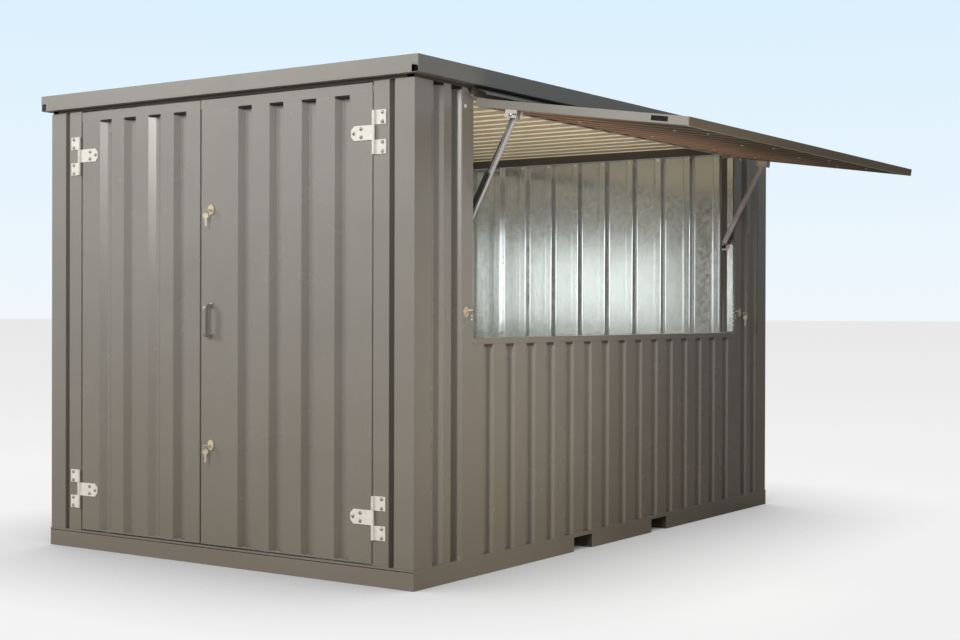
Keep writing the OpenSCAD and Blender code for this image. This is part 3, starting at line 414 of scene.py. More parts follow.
def sheet(name, points_quads, finishes, body, slot, stands_for, thick_mm=THIN):
    """A folded sheet: thickness behind its outer face, first finish outside, second inside."""
    thing = piece(name, *points_quads, finishes, body, slot, stands_for)
    wall = thing.modifiers.new("thickness", "SOLIDIFY")
    wall.thickness, wall.offset, wall.material_offset = thick_mm * MM, -1.0, 1
    thing.modifiers.new("shading", "WEIGHTED_NORMAL").weight = 100
    return thing


# %% [markdown]
# ## Long walls
# Both long walls share one row of grooves: two beside each corner post and fifteen between them. On the hatch side
# the middle panel ends at the sill, and the end panels have their upper corner cut off beside the flap's hinge. The
# rollers do not press every flank alike: the outer groove is flatter and the inner one steeper, so only one of them
# throws the lamp back to the camera.

# %% Long walls
X, Y, Z = np.eye(3)
BASE_L, WALL_X, BASE_H, WALL_TOP = 3445.0, 1084.5, 84.0, 2064.0
SILL_Z, SILL_T, POST_W, HATCH_END, GROOVE_D = 1010.0, 2.0, 100.0, 420.0, 30.0
HATCH_FIRST, HATCH_PITCH, HATCH_GROOVES, HATCH_W = 508.0, 168.4286, 15, 71.0
CUT_W, CUT_H = 48.0, 42.0
corner_starts, corner_widths = np.array([132.0, 260.0]), np.array([75.0, 77.0])
corner_depths, corner_flanks = np.array([30.0, 41.0]), np.array([31.0, 20.0])
hatch_starts = HATCH_FIRST + np.arange(HATCH_GROOVES) * HATCH_PITCH

all_starts = np.concatenate([corner_starts, hatch_starts, BASE_L - (corner_starts + corner_widths)[::-1]])
all_widths = np.concatenate([corner_widths, np.full(HATCH_GROOVES, HATCH_W), corner_widths[::-1]])
long_line = rounded_line(grooved(POST_W, BASE_L - POST_W, all_starts, all_widths, GROOVE_D))
sheet("left_wall_sheet", carried(long_line, -WALL_X * X, Y, X, Z, [BASE_H, WALL_TOP]),
      [wall_paint, bare_zinc], "kiosk", "grey_paint", ["left_wall"])

end_folds = grooved(POST_W, HATCH_END, corner_starts, corner_widths, corner_depths, corner_flanks)
end_line = rounded_line(end_folds)
cut_at = HATCH_END - CUT_W
end_line = np.insert(end_line, len(end_line) - 1, [cut_at, 0.0], axis=0)
end_top = WALL_TOP - CUT_H * np.clip((end_line[:, 0] - cut_at) / CUT_W, 0, 1)
end_stations = np.stack([np.full(len(end_line), BASE_H), end_top], 1)
end_panels = (("front", WALL_X * X, Y), ("back", WALL_X * X + BASE_L * Y, -Y))
# The end panels get the shaded zinc inside: a painted shade.
for where, origin, across in end_panels:
    sheet(f"hatch_wall_{where}_sheet", carried(end_line, origin, across, -X, Z, end_stations),
          [wall_paint, shaded_zinc], "kiosk", "grey_paint", [f"hatch_wall_{where}_panel"])

lower_line = rounded_line(grooved(HATCH_END, BASE_L - HATCH_END, hatch_starts, HATCH_W, GROOVE_D))
sheet("hatch_wall_lower_sheet", carried(lower_line, WALL_X * X, Y, -X, Z, [BASE_H, SILL_Z - SILL_T]),
      [wall_paint, bare_zinc], "kiosk", "grey_paint", ["hatch_wall_lower_panel"])
print("grooves in a long wall:", len(all_starts))

# %% [markdown]
# ## End wall and door leaves
# The end wall has nine grooves. The two door leaves have four each, at different pitches because the leaves differ
# in width, and both edges are folded back to the depth of the leaf. Two grooves of the left leaf are pressed flatter
# and shine more than their neighbours.

# %% End wall and door leaves
END_X, END_Y, END_FIRST, END_PITCH, END_GROOVES, END_W, END_FLANK = 1002.0, 3439.5, -824.0, 196.0, 9, 80.0, 21.0
LEAF_Y, LEAF_D, LEAF_HINGE_X, LEAF_LOW, LEAF_HIGH = 3.0, 40.0, 872.0, 96.0, 2016.0
LEAF_GROOVES, LEAF_W, LEAF_R = 4, 80.0, 4.0
end_starts = END_FIRST + np.arange(END_GROOVES) * END_PITCH
back_line = rounded_line(grooved(-END_X, END_X, end_starts, END_W, GROOVE_D, END_FLANK))
sheet("back_wall_sheet", carried(back_line, END_Y * Y, X, -Y, Z, [BASE_H, WALL_TOP]),
      [wall_paint, bare_zinc], "kiosk", "grey_paint", ["back_wall"])

leaves = {"right": (-94.5, 126.5, 181.8333, X, (30, 30, 30, 30), (20, 20, 20, 20)),
          "left": (102.5, 188.5, 161.1667, -X, (30, 21, 27, 21), (22, 32, 26, 32))}
leaf_folds = {}
for side, (free_x, first_groove, pitch_x, across, depths, flanks) in leaves.items():
    starts = first_groove + np.arange(LEAF_GROOVES) * pitch_x
    grooves = grooved(free_x, LEAF_HINGE_X, starts, LEAF_W, depths, flanks)
    leaf_folds[side] = grooves, across
    folded = np.concatenate([[[free_x, LEAF_D]], grooves, [[LEAF_HINGE_X, LEAF_D]]])
    sheet(f"{side}_leaf_folded_sheet",
          carried(rounded_line(folded, LEAF_R), LEAF_Y * Y, across, Y, Z, [LEAF_LOW, LEAF_HIGH]),
          [wall_paint, bare_zinc], f"door_{side}", "grey_paint", [f"{side}_leaf_sheet"])
print("end wall grooves:", END_GROOVES, "grooves in a leaf:", LEAF_GROOVES)

# %% [markdown]
# ## Roof sheet and flap
# The roof sheet's ribs run across the kiosk, zinc above and cream below. The flap repeats the wall's grooves, so it
# closes in line with the panel under the hatch. It hangs at its open slope in the frame, and every point of it is
# written along that slope.

# %% Roof sheet and flap
ROOF_Z, ROOF_X, ROOF_OVER = 2110.0, 1094.0, 12.0
RIB_FIRST, RIBS, RIB_W, RIB_H, RIB_R = 47.3, 22, 62.0, 26.0, 6.0
rib_starts = RIB_FIRST + np.arange(RIBS) * BASE_L / RIBS
roof_line = rounded_line(grooved(-ROOF_OVER, BASE_L + ROOF_OVER, rib_starts, RIB_W, -RIB_H), RIB_R)
sheet("roof_ribbed_sheet", carried(roof_line, (ROOF_Z + THIN) * Z, Y, -Z, X, [-ROOF_X, ROOF_X]),
      [roof_zinc, cream_and_shade_coat], "kiosk", "galvanised_steel", ["roof_sheet"])

FLAP_X, FLAP_Z, FLAP_SLOPE = 1093.0, 2032.0, np.radians(8.4)
SHEET_Y, SHEET_DROP, SHEET_D, SHEET_FROM, SHEET_TO = 428.0, 7.0, 30.2, 6.0, 1013.0
flap_out = np.cos(FLAP_SLOPE) * X - np.sin(FLAP_SLOPE) * Z
flap_up = np.sin(FLAP_SLOPE) * X + np.cos(FLAP_SLOPE) * Z
flap_axis = FLAP_X * X + FLAP_Z * Z
flap_face = flap_axis - SHEET_DROP * flap_up
flap_line = rounded_line(grooved(SHEET_Y, BASE_L - SHEET_Y, hatch_starts, HATCH_W, SHEET_D))
sheet("flap_folded_sheet", carried(flap_line, flap_face, Y, -flap_up, flap_out, [SHEET_FROM, SHEET_TO]),
      [flap_paint, ground_reflection_coat], "flap", "grey_paint", ["flap_sheet"])
print("roof ribs:", RIBS, "flap grooves:", HATCH_GROOVES)

# %% [markdown]
# ## Bolts and screws
# A domed bolt head is a quarter of an oval turned round its axis. All heads of one size on one body are one mesh:
# the same small grid is laid down at every place, turned to the face it sits on.

# %% Helpers for turned pieces
def turned(outline, places, axes, sides=14):
    """Turns an outline of (radius, height) round each axis at each place: place + height axis +
    radius (cos a e1 + sin a e2). Both end rings are closed by one face."""
    outline, places, axes = np.asarray(outline, float), np.atleast_2d(places), np.atleast_2d(axes).astype(float)
    axes = np.broadcast_to(axes, places.shape)
    aside = np.where(np.abs(axes[:, 2:]) > 0.9, X, Z)
    e1 = np.cross(aside, axes)
    e1 /= np.linalg.norm(e1, axis=1, keepdims=True)
    e2 = np.cross(axes, e1)
    a = np.linspace(0, 2 * np.pi, sides, endpoint=False)
    ring = np.cos(a)[None, :, None] * e1[:, None] + np.sin(a)[None, :, None] * e2[:, None]
    grid = (places[:, None, None] + outline[None, :, None, 1:] * axes[:, None, None]
            + outline[None, :, None, :1] * ring[:, None])
    n, k = len(outline), len(places)
    i, j = np.meshgrid(np.arange(n - 1), np.arange(sides), indexing="ij")
    i, j, j2 = i.ravel(), j.ravel(), (j.ravel() + 1) % sides
    quads = np.stack([i * sides + j, i * sides + j2, (i + 1) * sides + j2, (i + 1) * sides + j], 1)
    shift = np.arange(k) * n * sides
    faces = (quads[None] + shift[:, None, None]).reshape(-1, 4).tolist()
    ends = np.stack([np.arange(sides)[::-1], (n - 1) * sides + np.arange(sides)])
    faces += (ends[None] + shift[:, None, None]).reshape(-1, sides).tolist()
    return grid.reshape(-1, 3), faces


def dome(radius, height, steps=5):
    """Outline of a domed head: a straight rim of a third of the height, then a quarter of an oval."""
    a = np.linspace(0, 0.47 * np.pi, steps)
    rim = height / 3
    oval = np.stack([radius * np.cos(a), rim + (height - rim) * np.sin(a)], 1)
    return np.concatenate([[[radius, -0.5]], oval])


# %% Bolts on the door hinges
HINGE_X, PLATE_Y, HINGE_ZS = 884.0, -1.0, (280.0, 1854.0)
BOLT_OUT, PLATE_UP, BOLT_UP = 43.0, 60.5, 19.0
STRAP_HOLES = ((-69.0, -16.5), (-69.0, 16.5), (-107.0, 0.0))
hinge_bolt = dome(8, 4.5)
butt = np.array([[side * (HINGE_X + BOLT_OUT), PLATE_Y, z + half * PLATE_UP + up] for side in (-1, 1)
                 for z in HINGE_ZS for half in (-1, 1) for up in (-BOLT_UP, BOLT_UP)])
piece("hinge_plate_bolts", *turned(hinge_bolt, butt, -Y), [bolt_zinc], "kiosk", "zinc_plated_steel")
for side, sign in (("left", -1), ("right", 1)):
    strap = np.array([[sign * (HINGE_X + dx), PLATE_Y, z + dz] for z in HINGE_ZS for dx, dz in STRAP_HOLES])
    piece(f"{side}_strap_bolts", *turned(hinge_bolt, strap, -Y), [bolt_zinc], f"door_{side}", "zinc_plated_steel")
print("hinge bolts:", len(butt) + 2 * len(strap))

# %% [markdown]
# ## Small screws and bolts
# Self-drilling screws hold the sheets: one on each rib of the roof near both eaves and in the middle, one under the
# ring on each inner ridge of the end wall, a few through the flap, and a larger bolt beside the hatch.

# %% Small screws and bolts
RIB_TOP, ROOF_ROWS = ROOF_Z + RIB_H + THIN, (-1010.0, 0.0, 1010.0)
roof_screws = np.array([[x, y, RIB_TOP] for x in ROOF_ROWS for y in rib_starts + RIB_W / 2])
washer = np.concatenate([[[8.5, -0.4], [8.5, 1.2], [5.5, 1.8]], dome(5, 4.2, 4)[1:] + [0, 1.2]])
piece("roof_screws", *turned(washer, roof_screws, Z, 10), [plated_zinc], "kiosk", "zinc_plated_steel")

RIDGE_Y, RIDGE_Z = END_Y - GROOVE_D - THIN, 2050.0
ridge_screws = np.array([[x + END_W / 2, RIDGE_Y, RIDGE_Z] for x in end_starts])
piece("end_wall_inner_screws", *turned(dome(6.5, 4), ridge_screws, -Y), [plated_zinc], "kiosk", "zinc_plated_steel")

CORNER_Y, CORNER_Z = 361.0, 1987.0
side_bolts = np.array([[WALL_X, y, CORNER_Z] for y in (CORNER_Y, BASE_L - CORNER_Y)])
piece("hatch_corner_bolts", *turned(dome(9, 5), side_bolts, X), [plated_zinc], "kiosk", "zinc_plated_steel")

FLAP_LOW, SCREWED_GROOVES, SCREW_ROWS = 38.1, [2, 6, 10, 13], (250.0, 717.0, 875.0)
under = flap_axis + np.array([u * flap_out - FLAP_LOW * flap_up + y * Y
                              for y in hatch_starts[SCREWED_GROOVES] + HATCH_W / 2 for u in SCREW_ROWS])
piece("flap_screws", *turned(dome(6, 3.5), under, -flap_up), [plated_zinc], "flap", "zinc_plated_steel")
print("screws:", len(roof_screws) + len(ridge_screws) + len(side_bolts) + len(under))

# %% [markdown]
# ## Black plates of painted shadow
# The open upper ends of grooves get black plates, cut to the groove: a painted shadow for the shade under the gutter
# and the top rail. Each side edge of the flap has one long slot near its free end for the closing bar, with a black
# plate behind it, a painted shadow for the dark hollow of the channel. All of them are plates: one outline, two sides
# and a band.

# %% Black plates of painted shadow
def slab(outline, origin, e1, e2, thick):
    """Plate: an outline in the plane of e1 and e2, its two sides thick apart, and a band between them."""
    outline = np.asarray(outline, float)
    flat = np.asarray(origin, float) + outline[:, :1] * e1 + outline[:, 1:] * e2
    half = np.cross(e1, e2) * thick / 2
    n, j = len(outline), np.arange(len(outline))
    band = np.stack([j, (j + 1) % n, n + (j + 1) % n, n + j], 1).tolist()
    return np.concatenate([flat - half, flat + half]), [j[::-1].tolist(), (n + j).tolist()] + band


def joined(*parts):
    """Puts several (points, faces) together as one."""
    shifts = np.cumsum([0] + [len(points) for points, _ in parts])
    faces = [[i + int(shift) for i in face] for (_, some), shift in zip(parts, shifts) for face in some]
    return np.concatenate([points for points, _ in parts]), faces


def groove_shadows(corners, origin, across, deep, thick=8.0):
    """One plate in each groove; corners are the four folds of each groove, drawn in by 1 mm at its sides."""
    grooves = np.asarray(corners)[1:-1].reshape(-1, 4, 2)[:, [0, 3, 2, 1]] + [[1, 1], [-1, 1], [-1, 0], [1, 0]]
    return joined(*[slab(groove, origin, across, deep, thick) for groove in grooves])


# Painted shadow: a black plate behind each slot stands for the dark hollow of the edge channel.
FLAP_END, SLOT_IN, SLOT_SHADOW_Y = 1015.0, 132.0, 431.0
slot_shadow_outline = np.array([[-44, -37], [44, -37], [44, -8], [-44, -8]]) + [FLAP_END - SLOT_IN, 0]
for where, y in (("front", SLOT_SHADOW_Y), ("back", BASE_L - SLOT_SHADOW_Y)):
    piece(f"flap_slot_shadow_{where}", *slab(slot_shadow_outline, flap_axis + y * Y, flap_out, flap_up, 1.0), [painted_shadow], "flap",
          "black_paint", smooth=False)

# Painted shadow: a black plate near the top of each groove, where the gutter and the top rail shade it.
SHADOW_DOWN = 5.0
for where, origin, across in end_panels:
    shadow_at = origin + (WALL_TOP - SHADOW_DOWN) * Z
    piece(f"hatch_wall_{where}_fillers", *groove_shadows(end_folds, shadow_at, across, -X), [painted_shadow], "kiosk", "black_paint",
          smooth=False)
for side, (folds, across) in leaf_folds.items():
    shadow_at = LEAF_Y * Y + (LEAF_HIGH - SHADOW_DOWN) * Z
    piece(f"{side}_leaf_fillers", *groove_shadows(folds, shadow_at, across, Y), [painted_shadow], f"door_{side}", "black_paint",
          smooth=False)
print("grooves with foam:", 2 * len(corner_starts) + 2 * LEAF_GROOVES)

# %% [markdown]
# ## Painted shadows under the sill and strips on the jambs
# Under the lip of the hatch sill a dark plate sits in each groove of the lower panel: a painted shadow for the shade
# that the lip casts. It stands back a few millimetres, so the groove is narrowed by the share of its flanks up to
# there. Each jamb of the hatch gets a dark strip towards the room and a bright zinc strip in front of it: a painted
# shade and a painted highlight for the shaded and the lit bands along the jamb.

# %% Painted shadows under the sill and strips on the jambs
# Painted shadow: the dark plates under the sill stand for the shade cast by its lip.
SHADOW_IN, SHADOW_H, SHADOW_Z = 5.0, 18.0, 981.0
drawn_in = FLANK * SHADOW_IN / GROOVE_D
shadow_folds = grooved(HATCH_END, BASE_L - HATCH_END, hatch_starts + drawn_in, HATCH_W - 2 * drawn_in,
                    GROOVE_D - SHADOW_IN, FLANK - drawn_in)
piece("hatch_sill_fillers", *groove_shadows(shadow_folds, (WALL_X - SHADOW_IN) * X + SHADOW_Z * Z, Y, -X, SHADOW_H), [shaded_paint],
      "kiosk", "dark_paint", smooth=False)

# Painted shade and painted highlight: a dark strip and a bright zinc strip on each jamb stand for its shaded and lit
# bands.
STRIP_LOW, STRIP_HIGH, STRIP_T, STRIP_OFF = SILL_Z + 4, 1996.0, 1.6, 0.6
strip_ends = np.array([[2, 0], [-2, 0], [0, 2], [0, -2], [-2, 0], [2, 0], [0, -2], [0, 2]])
strips = (("painted_shade_strip", 1002.0, 1033.0, dark_paint, "dark_paint"),
          ("painted_highlight_strip", 1034.0, 1072.0, bare_zinc, "galvanised_steel"))
for where, y in (("front", HATCH_END + STRIP_OFF), ("back", BASE_L - HATCH_END - STRIP_OFF)):
    for what, low_x, high_x, finish, slot in strips:
        corners = [[low_x, STRIP_LOW], [high_x, STRIP_LOW], [high_x, STRIP_HIGH], [low_x, STRIP_HIGH]]
        outline = np.repeat(corners, 2, axis=0) + strip_ends
        piece(f"jamb_{what}_{where}", *slab(outline, y * Y, X, Z, STRIP_T), [finish], "kiosk", slot, smooth=False)
print("sill_shadows:", HATCH_GROOVES, "jamb strips:", 2 * len(strips))

# %% [markdown]
# ## Drip strip over the flap's hinge
# A folded strip under the gutter leads rain over the hinge onto the flap. It is one section again: a short leg on
# the ring, a slope outwards and a small hem.

# %% Drip strip
DRIP_END, DRIP_R, DRIP_T = 411.0, 2.0, 1.5
drip_corners = np.array([[1082.0, -2064.0], [1082.0, -2077.5], [1157.5, -2041.5], [1157.5, -2035.5]])
drip_line = rounded_line(drip_corners, DRIP_R)
sheet("drip_strip_folded", carried(drip_line, 0 * X, X, -Z, Y, [DRIP_END, BASE_L - DRIP_END]),
      [frame_paint, frame_paint], "kiosk", "grey_paint", ["hatch_drip_strip"], DRIP_T)
print("drip strip:", BASE_L - 2 * DRIP_END, "mm long")

# %% [markdown]
# ## Gas struts
# Each strut is a stay bar folded to a channel, with an eye at the top and a dark piston rod beside it that slides
# into the black cylinder. The clip under the flap gets its two empty holes and a bolt head. The cylinders keep their
# solids.

# %% Gas struts
def hoop(section, places, axes, sides=20):
    """Turns a closed section of (radius, height) round an axis, so that a ring with a hole is left."""
    points, faces = turned(section, places, axes, sides)
    n, k = len(section), len(np.atleast_2d(places))
    j = np.arange(sides)
    last, j2 = (n - 1) * sides, (j + 1) % sides
    seam = np.stack([last + j, last + j2, j2, j], 1)
    seam = (seam[None] + (np.arange(k) * n * sides)[:, None, None]).reshape(-1, 4).tolist()
    return points, faces[:-2 * k] + seam


top_pivot, low_pivot = np.array([1266.958, 0, 1943.640]), np.array([1025.0, 0, 1494.0])
strut = (low_pivot - top_pivot) / np.linalg.norm(low_pivot - top_pivot)
strut_side = np.cross(strut, Y)
CLIP_Y, EYE_Y, STRUT_Y, BAR_Y = 428.0, 432.5, 442.0, 456.0
BAR_HALF, BAR_D, BAR_FROM, BAR_TO, BAR_R, BAR_T = 13.5, 12.0, -3.0, 490.0, 3.0, 2.0
ROD_R, ROD_FROM, ROD_TO, HOLE_R = 3.3, 10.0, 291.0, 4.3
bar_line = rounded_line([[-BAR_HALF, BAR_D], [-BAR_HALF, 0], [BAR_HALF, 0], [BAR_HALF, BAR_D]], BAR_R)
eye_section = [[6.4, 0], [11, 0], [12, 1], [12, 22], [11, 23], [6.4, 23]]
rod_outline = [[ROD_R - 1, ROD_FROM], [ROD_R, ROD_FROM + 1], [ROD_R, ROD_TO - 1], [ROD_R - 1, ROD_TO]]
clip_holes = np.array([[198.5, -58.0], [209.0, -58.0]]) @ np.array([flap_out, flap_up])
for where, y0, way in (("front", 0.0, Y), ("back", BASE_L, -Y)):
    at = top_pivot + y0 * Y
    sheet(f"stay_bar_{where}_channel",
          carried(bar_line, at + BAR_Y * way, strut_side, way, strut, [BAR_FROM, BAR_TO]),
          [stay_zinc, stay_zinc], f"stay_{where}", "galvanised_steel", [f"stay_bar_{where}"], BAR_T)
    eye_and_rod = joined(hoop(eye_section, at + EYE_Y * way, way), turned(rod_outline, at + STRUT_Y * way, strut, 18))
    piece(f"stay_bar_{where}_rod", *eye_and_rod, [dark_rod], f"stay_{where}", "zinc_plated_steel")
    holes = flap_axis + y0 * Y + CLIP_Y * way + clip_holes
    piece(f"strut_clip_{where}_holes", *turned([[HOLE_R, -1], [HOLE_R, 0.25]], holes, -way), [black_lacquer], "flap",
          "black_paint")
    piece(f"strut_clip_{where}_bolt", *turned(dome(8.5, 6), at + CLIP_Y * way, -way), [hard_chrome], "flap",
          "zinc_plated_steel")
print("struts:", 2, "length:", round(float(np.linalg.norm(low_pivot - top_pivot)), 1))

# %% [markdown]
# ## Locks and keys
# The lock roses keep their solids. A key stands in each door lock and in the far lock of the hatch, with its bow out,
# and a ring on it carries a second key that hangs down. A key is one flat outline, a disc that runs out into a blade
# with cuts, with a band between its two sides.

# %% Locks and keys
BOW_R, WIRE_R, LOOP_R, PLUG_OUT, KEY_T, KEY_LEAN, STUB_END = 12.5, 1.3, 10.0, 10.0, 2.2, 0.7, -19.0
BOW_OUT, RING_OUT, RING_DOWN, HANG = 20.0, 8.0, 9.0, 8.0
bow_a = np.linspace(np.radians(-71), np.radians(251), 24)
bow = BOW_R * np.stack([np.cos(bow_a), np.sin(bow_a)], 1)
cuts = [[-4.5, -15], [-4.5, -20], [-2.5, -22], [-3.8, -25], [-1.8, -28], [-4, -31], [-2.2, -35], [-4.5, -41],
        [-1, -48], [2, -48], [4.5, -45]]
key_outline = np.concatenate([bow, cuts])
stub_outline = np.maximum(key_outline, [-np.inf, STUB_END])
loop_a = np.linspace(0, 2 * np.pi, 8, endpoint=False)
loop_section = np.stack([LOOP_R + WIRE_R * np.cos(loop_a), WIRE_R * np.sin(loop_a)], 1)


def key_pair(lock, along, out):
    """A key in the lock, its ring and the key that hangs from it; along runs along the wall, out leaves it."""
    bow_at = lock + (PLUG_OUT + BOW_OUT) * out
    ring_at = bow_at + RING_OUT * out - RING_DOWN * Z
    low_at = ring_at - (LOOP_R + HANG) * Z
    lean = np.cos(KEY_LEAN) * along - np.sin(KEY_LEAN) * out
    return joined(slab(stub_outline, bow_at, along, out, KEY_T), hoop(loop_section, ring_at, along, 18),
                  slab(key_outline, low_at, lean, Z, KEY_T))


LOCK_X, DOOR_LOCKS, HATCH_LOCKS, HATCH_LOCK_Z = -30.5, (531.0, 1570.0), (365.0, 3080.0), 1122.0
door_keys = joined(*[key_pair(np.array([LOCK_X, LEAF_Y, z]), X, -Y) for z in DOOR_LOCKS])
piece("door_keys", *door_keys, [key_nickel], "door_right", "brass", smooth=False)
hatch_keys = key_pair(np.array([WALL_X, HATCH_LOCKS[1], HATCH_LOCK_Z]), -Y, X)
piece("hatch_keys", *hatch_keys, [key_nickel], "kiosk", "brass", smooth=False)
print("keys:", 2 * len(DOOR_LOCKS) + 2)

# %% [markdown]
# ## Latches and small studs
# The near lock of the hatch shows its keyway. Beside each hatch lock lie a round latch and two studs, a row of notches
# runs up the far jamb, and a small screw holds each foot of the door handle.

# %% Latches and small studs
slot_outline = [[-6, -1.1], [6, -1.1], [6, 1.1], [-6, 1.1]]
keyway = slab(slot_outline, [WALL_X + PLUG_OUT, HATCH_LOCKS[0], HATCH_LOCK_Z], Y, Z, 0.6)
piece("hatch_keyway", *keyway, [black_lacquer], "kiosk", "black_paint", smooth=False)
LATCH_X, LATCH_Z, STUD_AWAY, STUD_DROPS = WALL_X + 3.6, HATCH_LOCK_Z + 8, 46.0, (16.0, 31.0)
latch_outline = [[2.6, 17], [3.2, 18], [3.2, 50], [2.6, 51]]
latch_ways = list(zip(HATCH_LOCKS, (1, -1)))
latches = [turned(latch_outline, [LATCH_X, y, LATCH_Z], way * Y, 12) for y, way in latch_ways]
studs = np.array([[WALL_X, y + way * STUD_AWAY, HATCH_LOCK_Z - drop] for y, way in latch_ways for drop in STUD_DROPS])
piece("hatch_latches", *joined(*latches, turned(dome(5, 3), studs, X, 12)), [plated_zinc], "kiosk",
      "zinc_plated_steel")
NOTCH_X, NOTCH_Z, NOTCH_PITCH, NOTCHES = 1076.0, 1053.0, 23.0, 8
notches = np.array([[NOTCH_X, BASE_L - HATCH_END, NOTCH_Z + k * NOTCH_PITCH] for k in range(NOTCHES)])
piece("jamb_notch_studs", *turned(dome(4, 0.9), notches, -Y, 10), [plated_zinc], "kiosk", "zinc_plated_steel")

HANDLE_Z, HANDLE_HALF = 1081.0, 75.5
foot_screws = np.array([[LOCK_X, 0, HANDLE_Z + dz] for dz in (-HANDLE_HALF, HANDLE_HALF)])
piece("handle_screws", *turned(dome(2.8, 1.6, 4), foot_screws, -Y, 10), [plated_zinc], "door_right",
      "zinc_plated_steel")
print("latch studs:", len(studs), "notch studs:", NOTCHES, "handle screws:", len(foot_screws))

# %% [markdown]
# ## Sky
# The camera sees a pale sky, a little bluer above. What gloss sees, and what lights dull surfaces, is set apart from
# it: both are darker behind the hatch side, as in a yard with a building there. The Light Path node tells the rays
# apart.

# %% Sky
def larger(tree, a, b):
    """The larger of two values."""
    return add(tree, "Math", {0: a, 1: b}, operation="MAXIMUM").outputs[0]


def backdrop_ray(tree):
    """1 for a ray from the camera or through glass, else 0."""
    rays = add(tree, "LightPath").outputs
    return larger(tree, rays["Is Camera Ray"], rays["Is Transmission Ray"])


def turned_to(tree, way, axis):
    """How far a direction points along an axis: their dot product, from -1 to 1."""
    return add(tree, "VectorMath", {0: way, 1: axis}, operation="DOT_PRODUCT").outputs["Value"]


BEHIND_WAY, ASIDE_WAY = (0.6, 0.8, 0.0), (0.87, -0.5, 0.0)
SOFT_FRONT, SOFT_BEHIND = (0.38, 0.385, 0.395, 1.0), (0.11, 0.11, 0.11, 1.0)
sky = bpy.data.worlds.new("pale_sky")
sky.use_nodes = True
tree = sky.node_tree
tree.nodes.clear()
way = add(tree, "TexCoord").outputs["Generated"]
lift = add(tree, "SeparateXYZ", {0: way}).outputs["Z"]
seen = mixed(tree, spread(tree, lift, 0.0, 0.2, 0.0, 1.0), linear("#f0f7fd"), linear("#daf0fd"))
behind, aside = turned_to(tree, way, BEHIND_WAY), turned_to(tree, way, ASIDE_WAY)
open_side = larger(tree, spread(tree, aside, -0.06, 0.08, 0.0, 1.0), spread(tree, behind, -0.2, 0.6, 1.0, 0.0))
open_sky = larger(tree, spread(tree, lift, 0.07, 0.28, 0.0, 1.0), open_side)
in_gloss = mixed(tree, open_sky, linear("#4a4238"), seen)
soft = mixed(tree, spread(tree, behind, -0.5, 0.5, 0.0, 1.0), SOFT_FRONT, SOFT_BEHIND)
lighting = mixed(tree, add(tree, "LightPath").outputs["Is Glossy Ray"], soft, in_gloss)
light = mixed(tree, backdrop_ray(tree), lighting, seen)
add(tree, "OutputWorld", {"Surface": add(tree, "Background", {"Color": light}).outputs[0]})
bpy.context.scene.world = sky
print("sky:", sky.name, "nodes:", len(tree.nodes))

# %% [markdown]
# ## Floor
# The floor is a pale disc, wide enough to meet the sky at the horizon. To the camera it glows in its own colour, with
# a soft shade close to the kiosk, so it stays pale under any lamp. To all other rays it is plain warm ground.

# %% Floor
FLOOR_R, RINGS, SPOKES, NEAR_R, SHADE_R, GLOW_SHARE = 210.0, 24, 96, 5.0, 1.2, 0.92
ring_r = np.geomspace(1.0, FLOOR_R, RINGS)
ring_a = np.linspace(0, 2 * np.pi, SPOKES, endpoint=False)
disc = np.stack([np.outer(ring_r, np.cos(ring_a)), np.outer(ring_r, np.sin(ring_a)), np.zeros((RINGS, SPOKES))], -1)
i, j = (part.ravel() for part in np.meshgrid(np.arange(RINGS - 1), np.arange(SPOKES), indexing="ij"))
inner, outer, j2 = i * SPOKES, (i + 1) * SPOKES, (j + 1) % SPOKES
quads = np.stack([inner + j, outer + j, outer + j2, inner + j2], 1).tolist()
mesh = bpy.data.meshes.new("studio_floor")
mesh.from_pydata(disc.reshape(-1, 3).tolist(), [], quads + [list(range(SPOKES))])
floor = bpy.data.objects.new("studio_floor", mesh)
bpy.context.scene.collection.objects.link(floor)

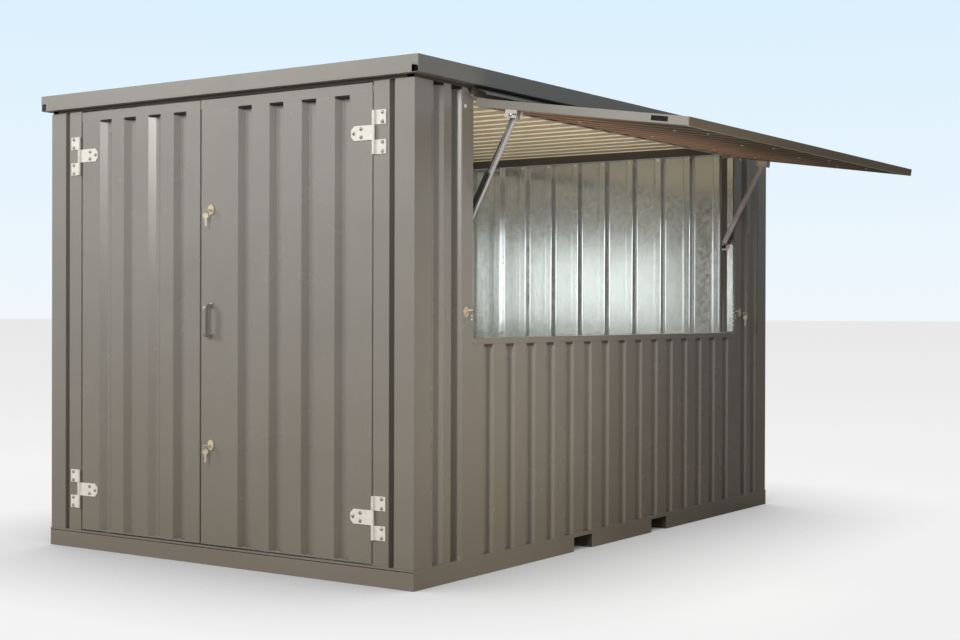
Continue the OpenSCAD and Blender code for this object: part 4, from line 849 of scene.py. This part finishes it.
pale_floor = bpy.data.materials.new("pale_studio_floor")
pale_floor.use_nodes = True
tree = pale_floor.node_tree
tree.nodes.clear()
away = add(tree, "VectorMath", {0: add(tree, "TexCoord").outputs["Object"]}, operation="LENGTH").outputs["Value"]
near = add(tree, "Math", {0: NEAR_R, 1: away}, operation="DIVIDE", use_clamp=True).outputs[0]
tint = mixed(tree, near, linear("#e8e8e8"), linear("#f6f6f6"))
shown = backdrop_ray(tree)
lit = add(tree, "BsdfDiffuse", {"Color": mixed(tree, shown, linear("#c0b5a4"), tint)}).outputs[0]
shade = add(tree, "AmbientOcclusion", {"Color": tint, "Distance": SHADE_R}, samples=8).outputs["Color"]
glow = add(tree, "Emission", {"Color": shade}).outputs[0]
far = spread(tree, away, 3.0, 9.0, GLOW_SHARE, 1.0)
share = add(tree, "Math", {0: shown, 1: far}, operation="MULTIPLY").outputs[0]
both = add(tree, "MixShader", {0: share, 1: lit, 2: glow}).outputs[0]
add(tree, "OutputMaterial", {"Surface": both})
mesh.materials.append(pale_floor)
print("floor:", len(mesh.polygons), "faces")

# %% [markdown]
# ## Lamps
# A tall strip lamp stands in front on the right and lights up the flanks that face between it and the camera. A broad
# lamp in front on the left fills the doors, and one behind fills the back. A small warm lamp stands for the ground's
# light on the hatch side, and two inside stand for the daylight in the hatch and on the floor.

# %% Lamps
def lamp(name, place, target, size, watts, colour, height=None, beam=180.0, mirrored=True):
    """An area lamp of the given width and height in metres, turned to its target, unseen by the camera itself and,
    if not mirrored, in gloss. Its light leaves within a beam of so many degrees."""
    data = bpy.data.lights.new(name, "AREA")
    data.shape, data.size, data.size_y = "RECTANGLE", size, height or size
    data.energy, data.color, data.spread = watts, linear(colour)[:3], np.radians(beam)
    thing = bpy.data.objects.new(name, data)
    turn = (Vector(target) - Vector(place)).to_track_quat("-Z", "Y")
    thing.matrix_world = Matrix.LocRotScale(Vector(place), turn, None)
    thing.visible_camera, thing.visible_glossy = False, mirrored
    bpy.context.scene.collection.objects.link(thing)


lamp("front_strip_lamp", (3.0, -8.6, 4.2), (0.4, 0.4, 1.3), 0.7, 385.0, "#fffdf8", height=3.0)
lamp("front_left_lamp", (-7.4, -6.6, 5.7), (-0.8, 0.0, 1.6), 2.6, 345.0, "#fffcf6")
lamp("back_lamp", (-4.5, 9.5, 4.5), (0.0, 3.4, 1.2), 2.6, 240.0, "#fffdf8")
lamp("hatch_side_lamp", (2.9, 0.6, 0.8), (1.0, 0.6, 0.8), 1.2, 9.0, "#fff6e8", beam=118.0, mirrored=False)
lamp("hatch_daylight", (0.995, 1.7225, 1.38), (0.0, 1.7225, 1.26), 2.5, 17.0, "#f7fbff", height=0.7)
lamp("room_floor_bounce", (0.2, 1.7225, 0.3), (0.2, 1.7225, 2.0), 1.6, 9.0, "#fff6e6", height=2.6)
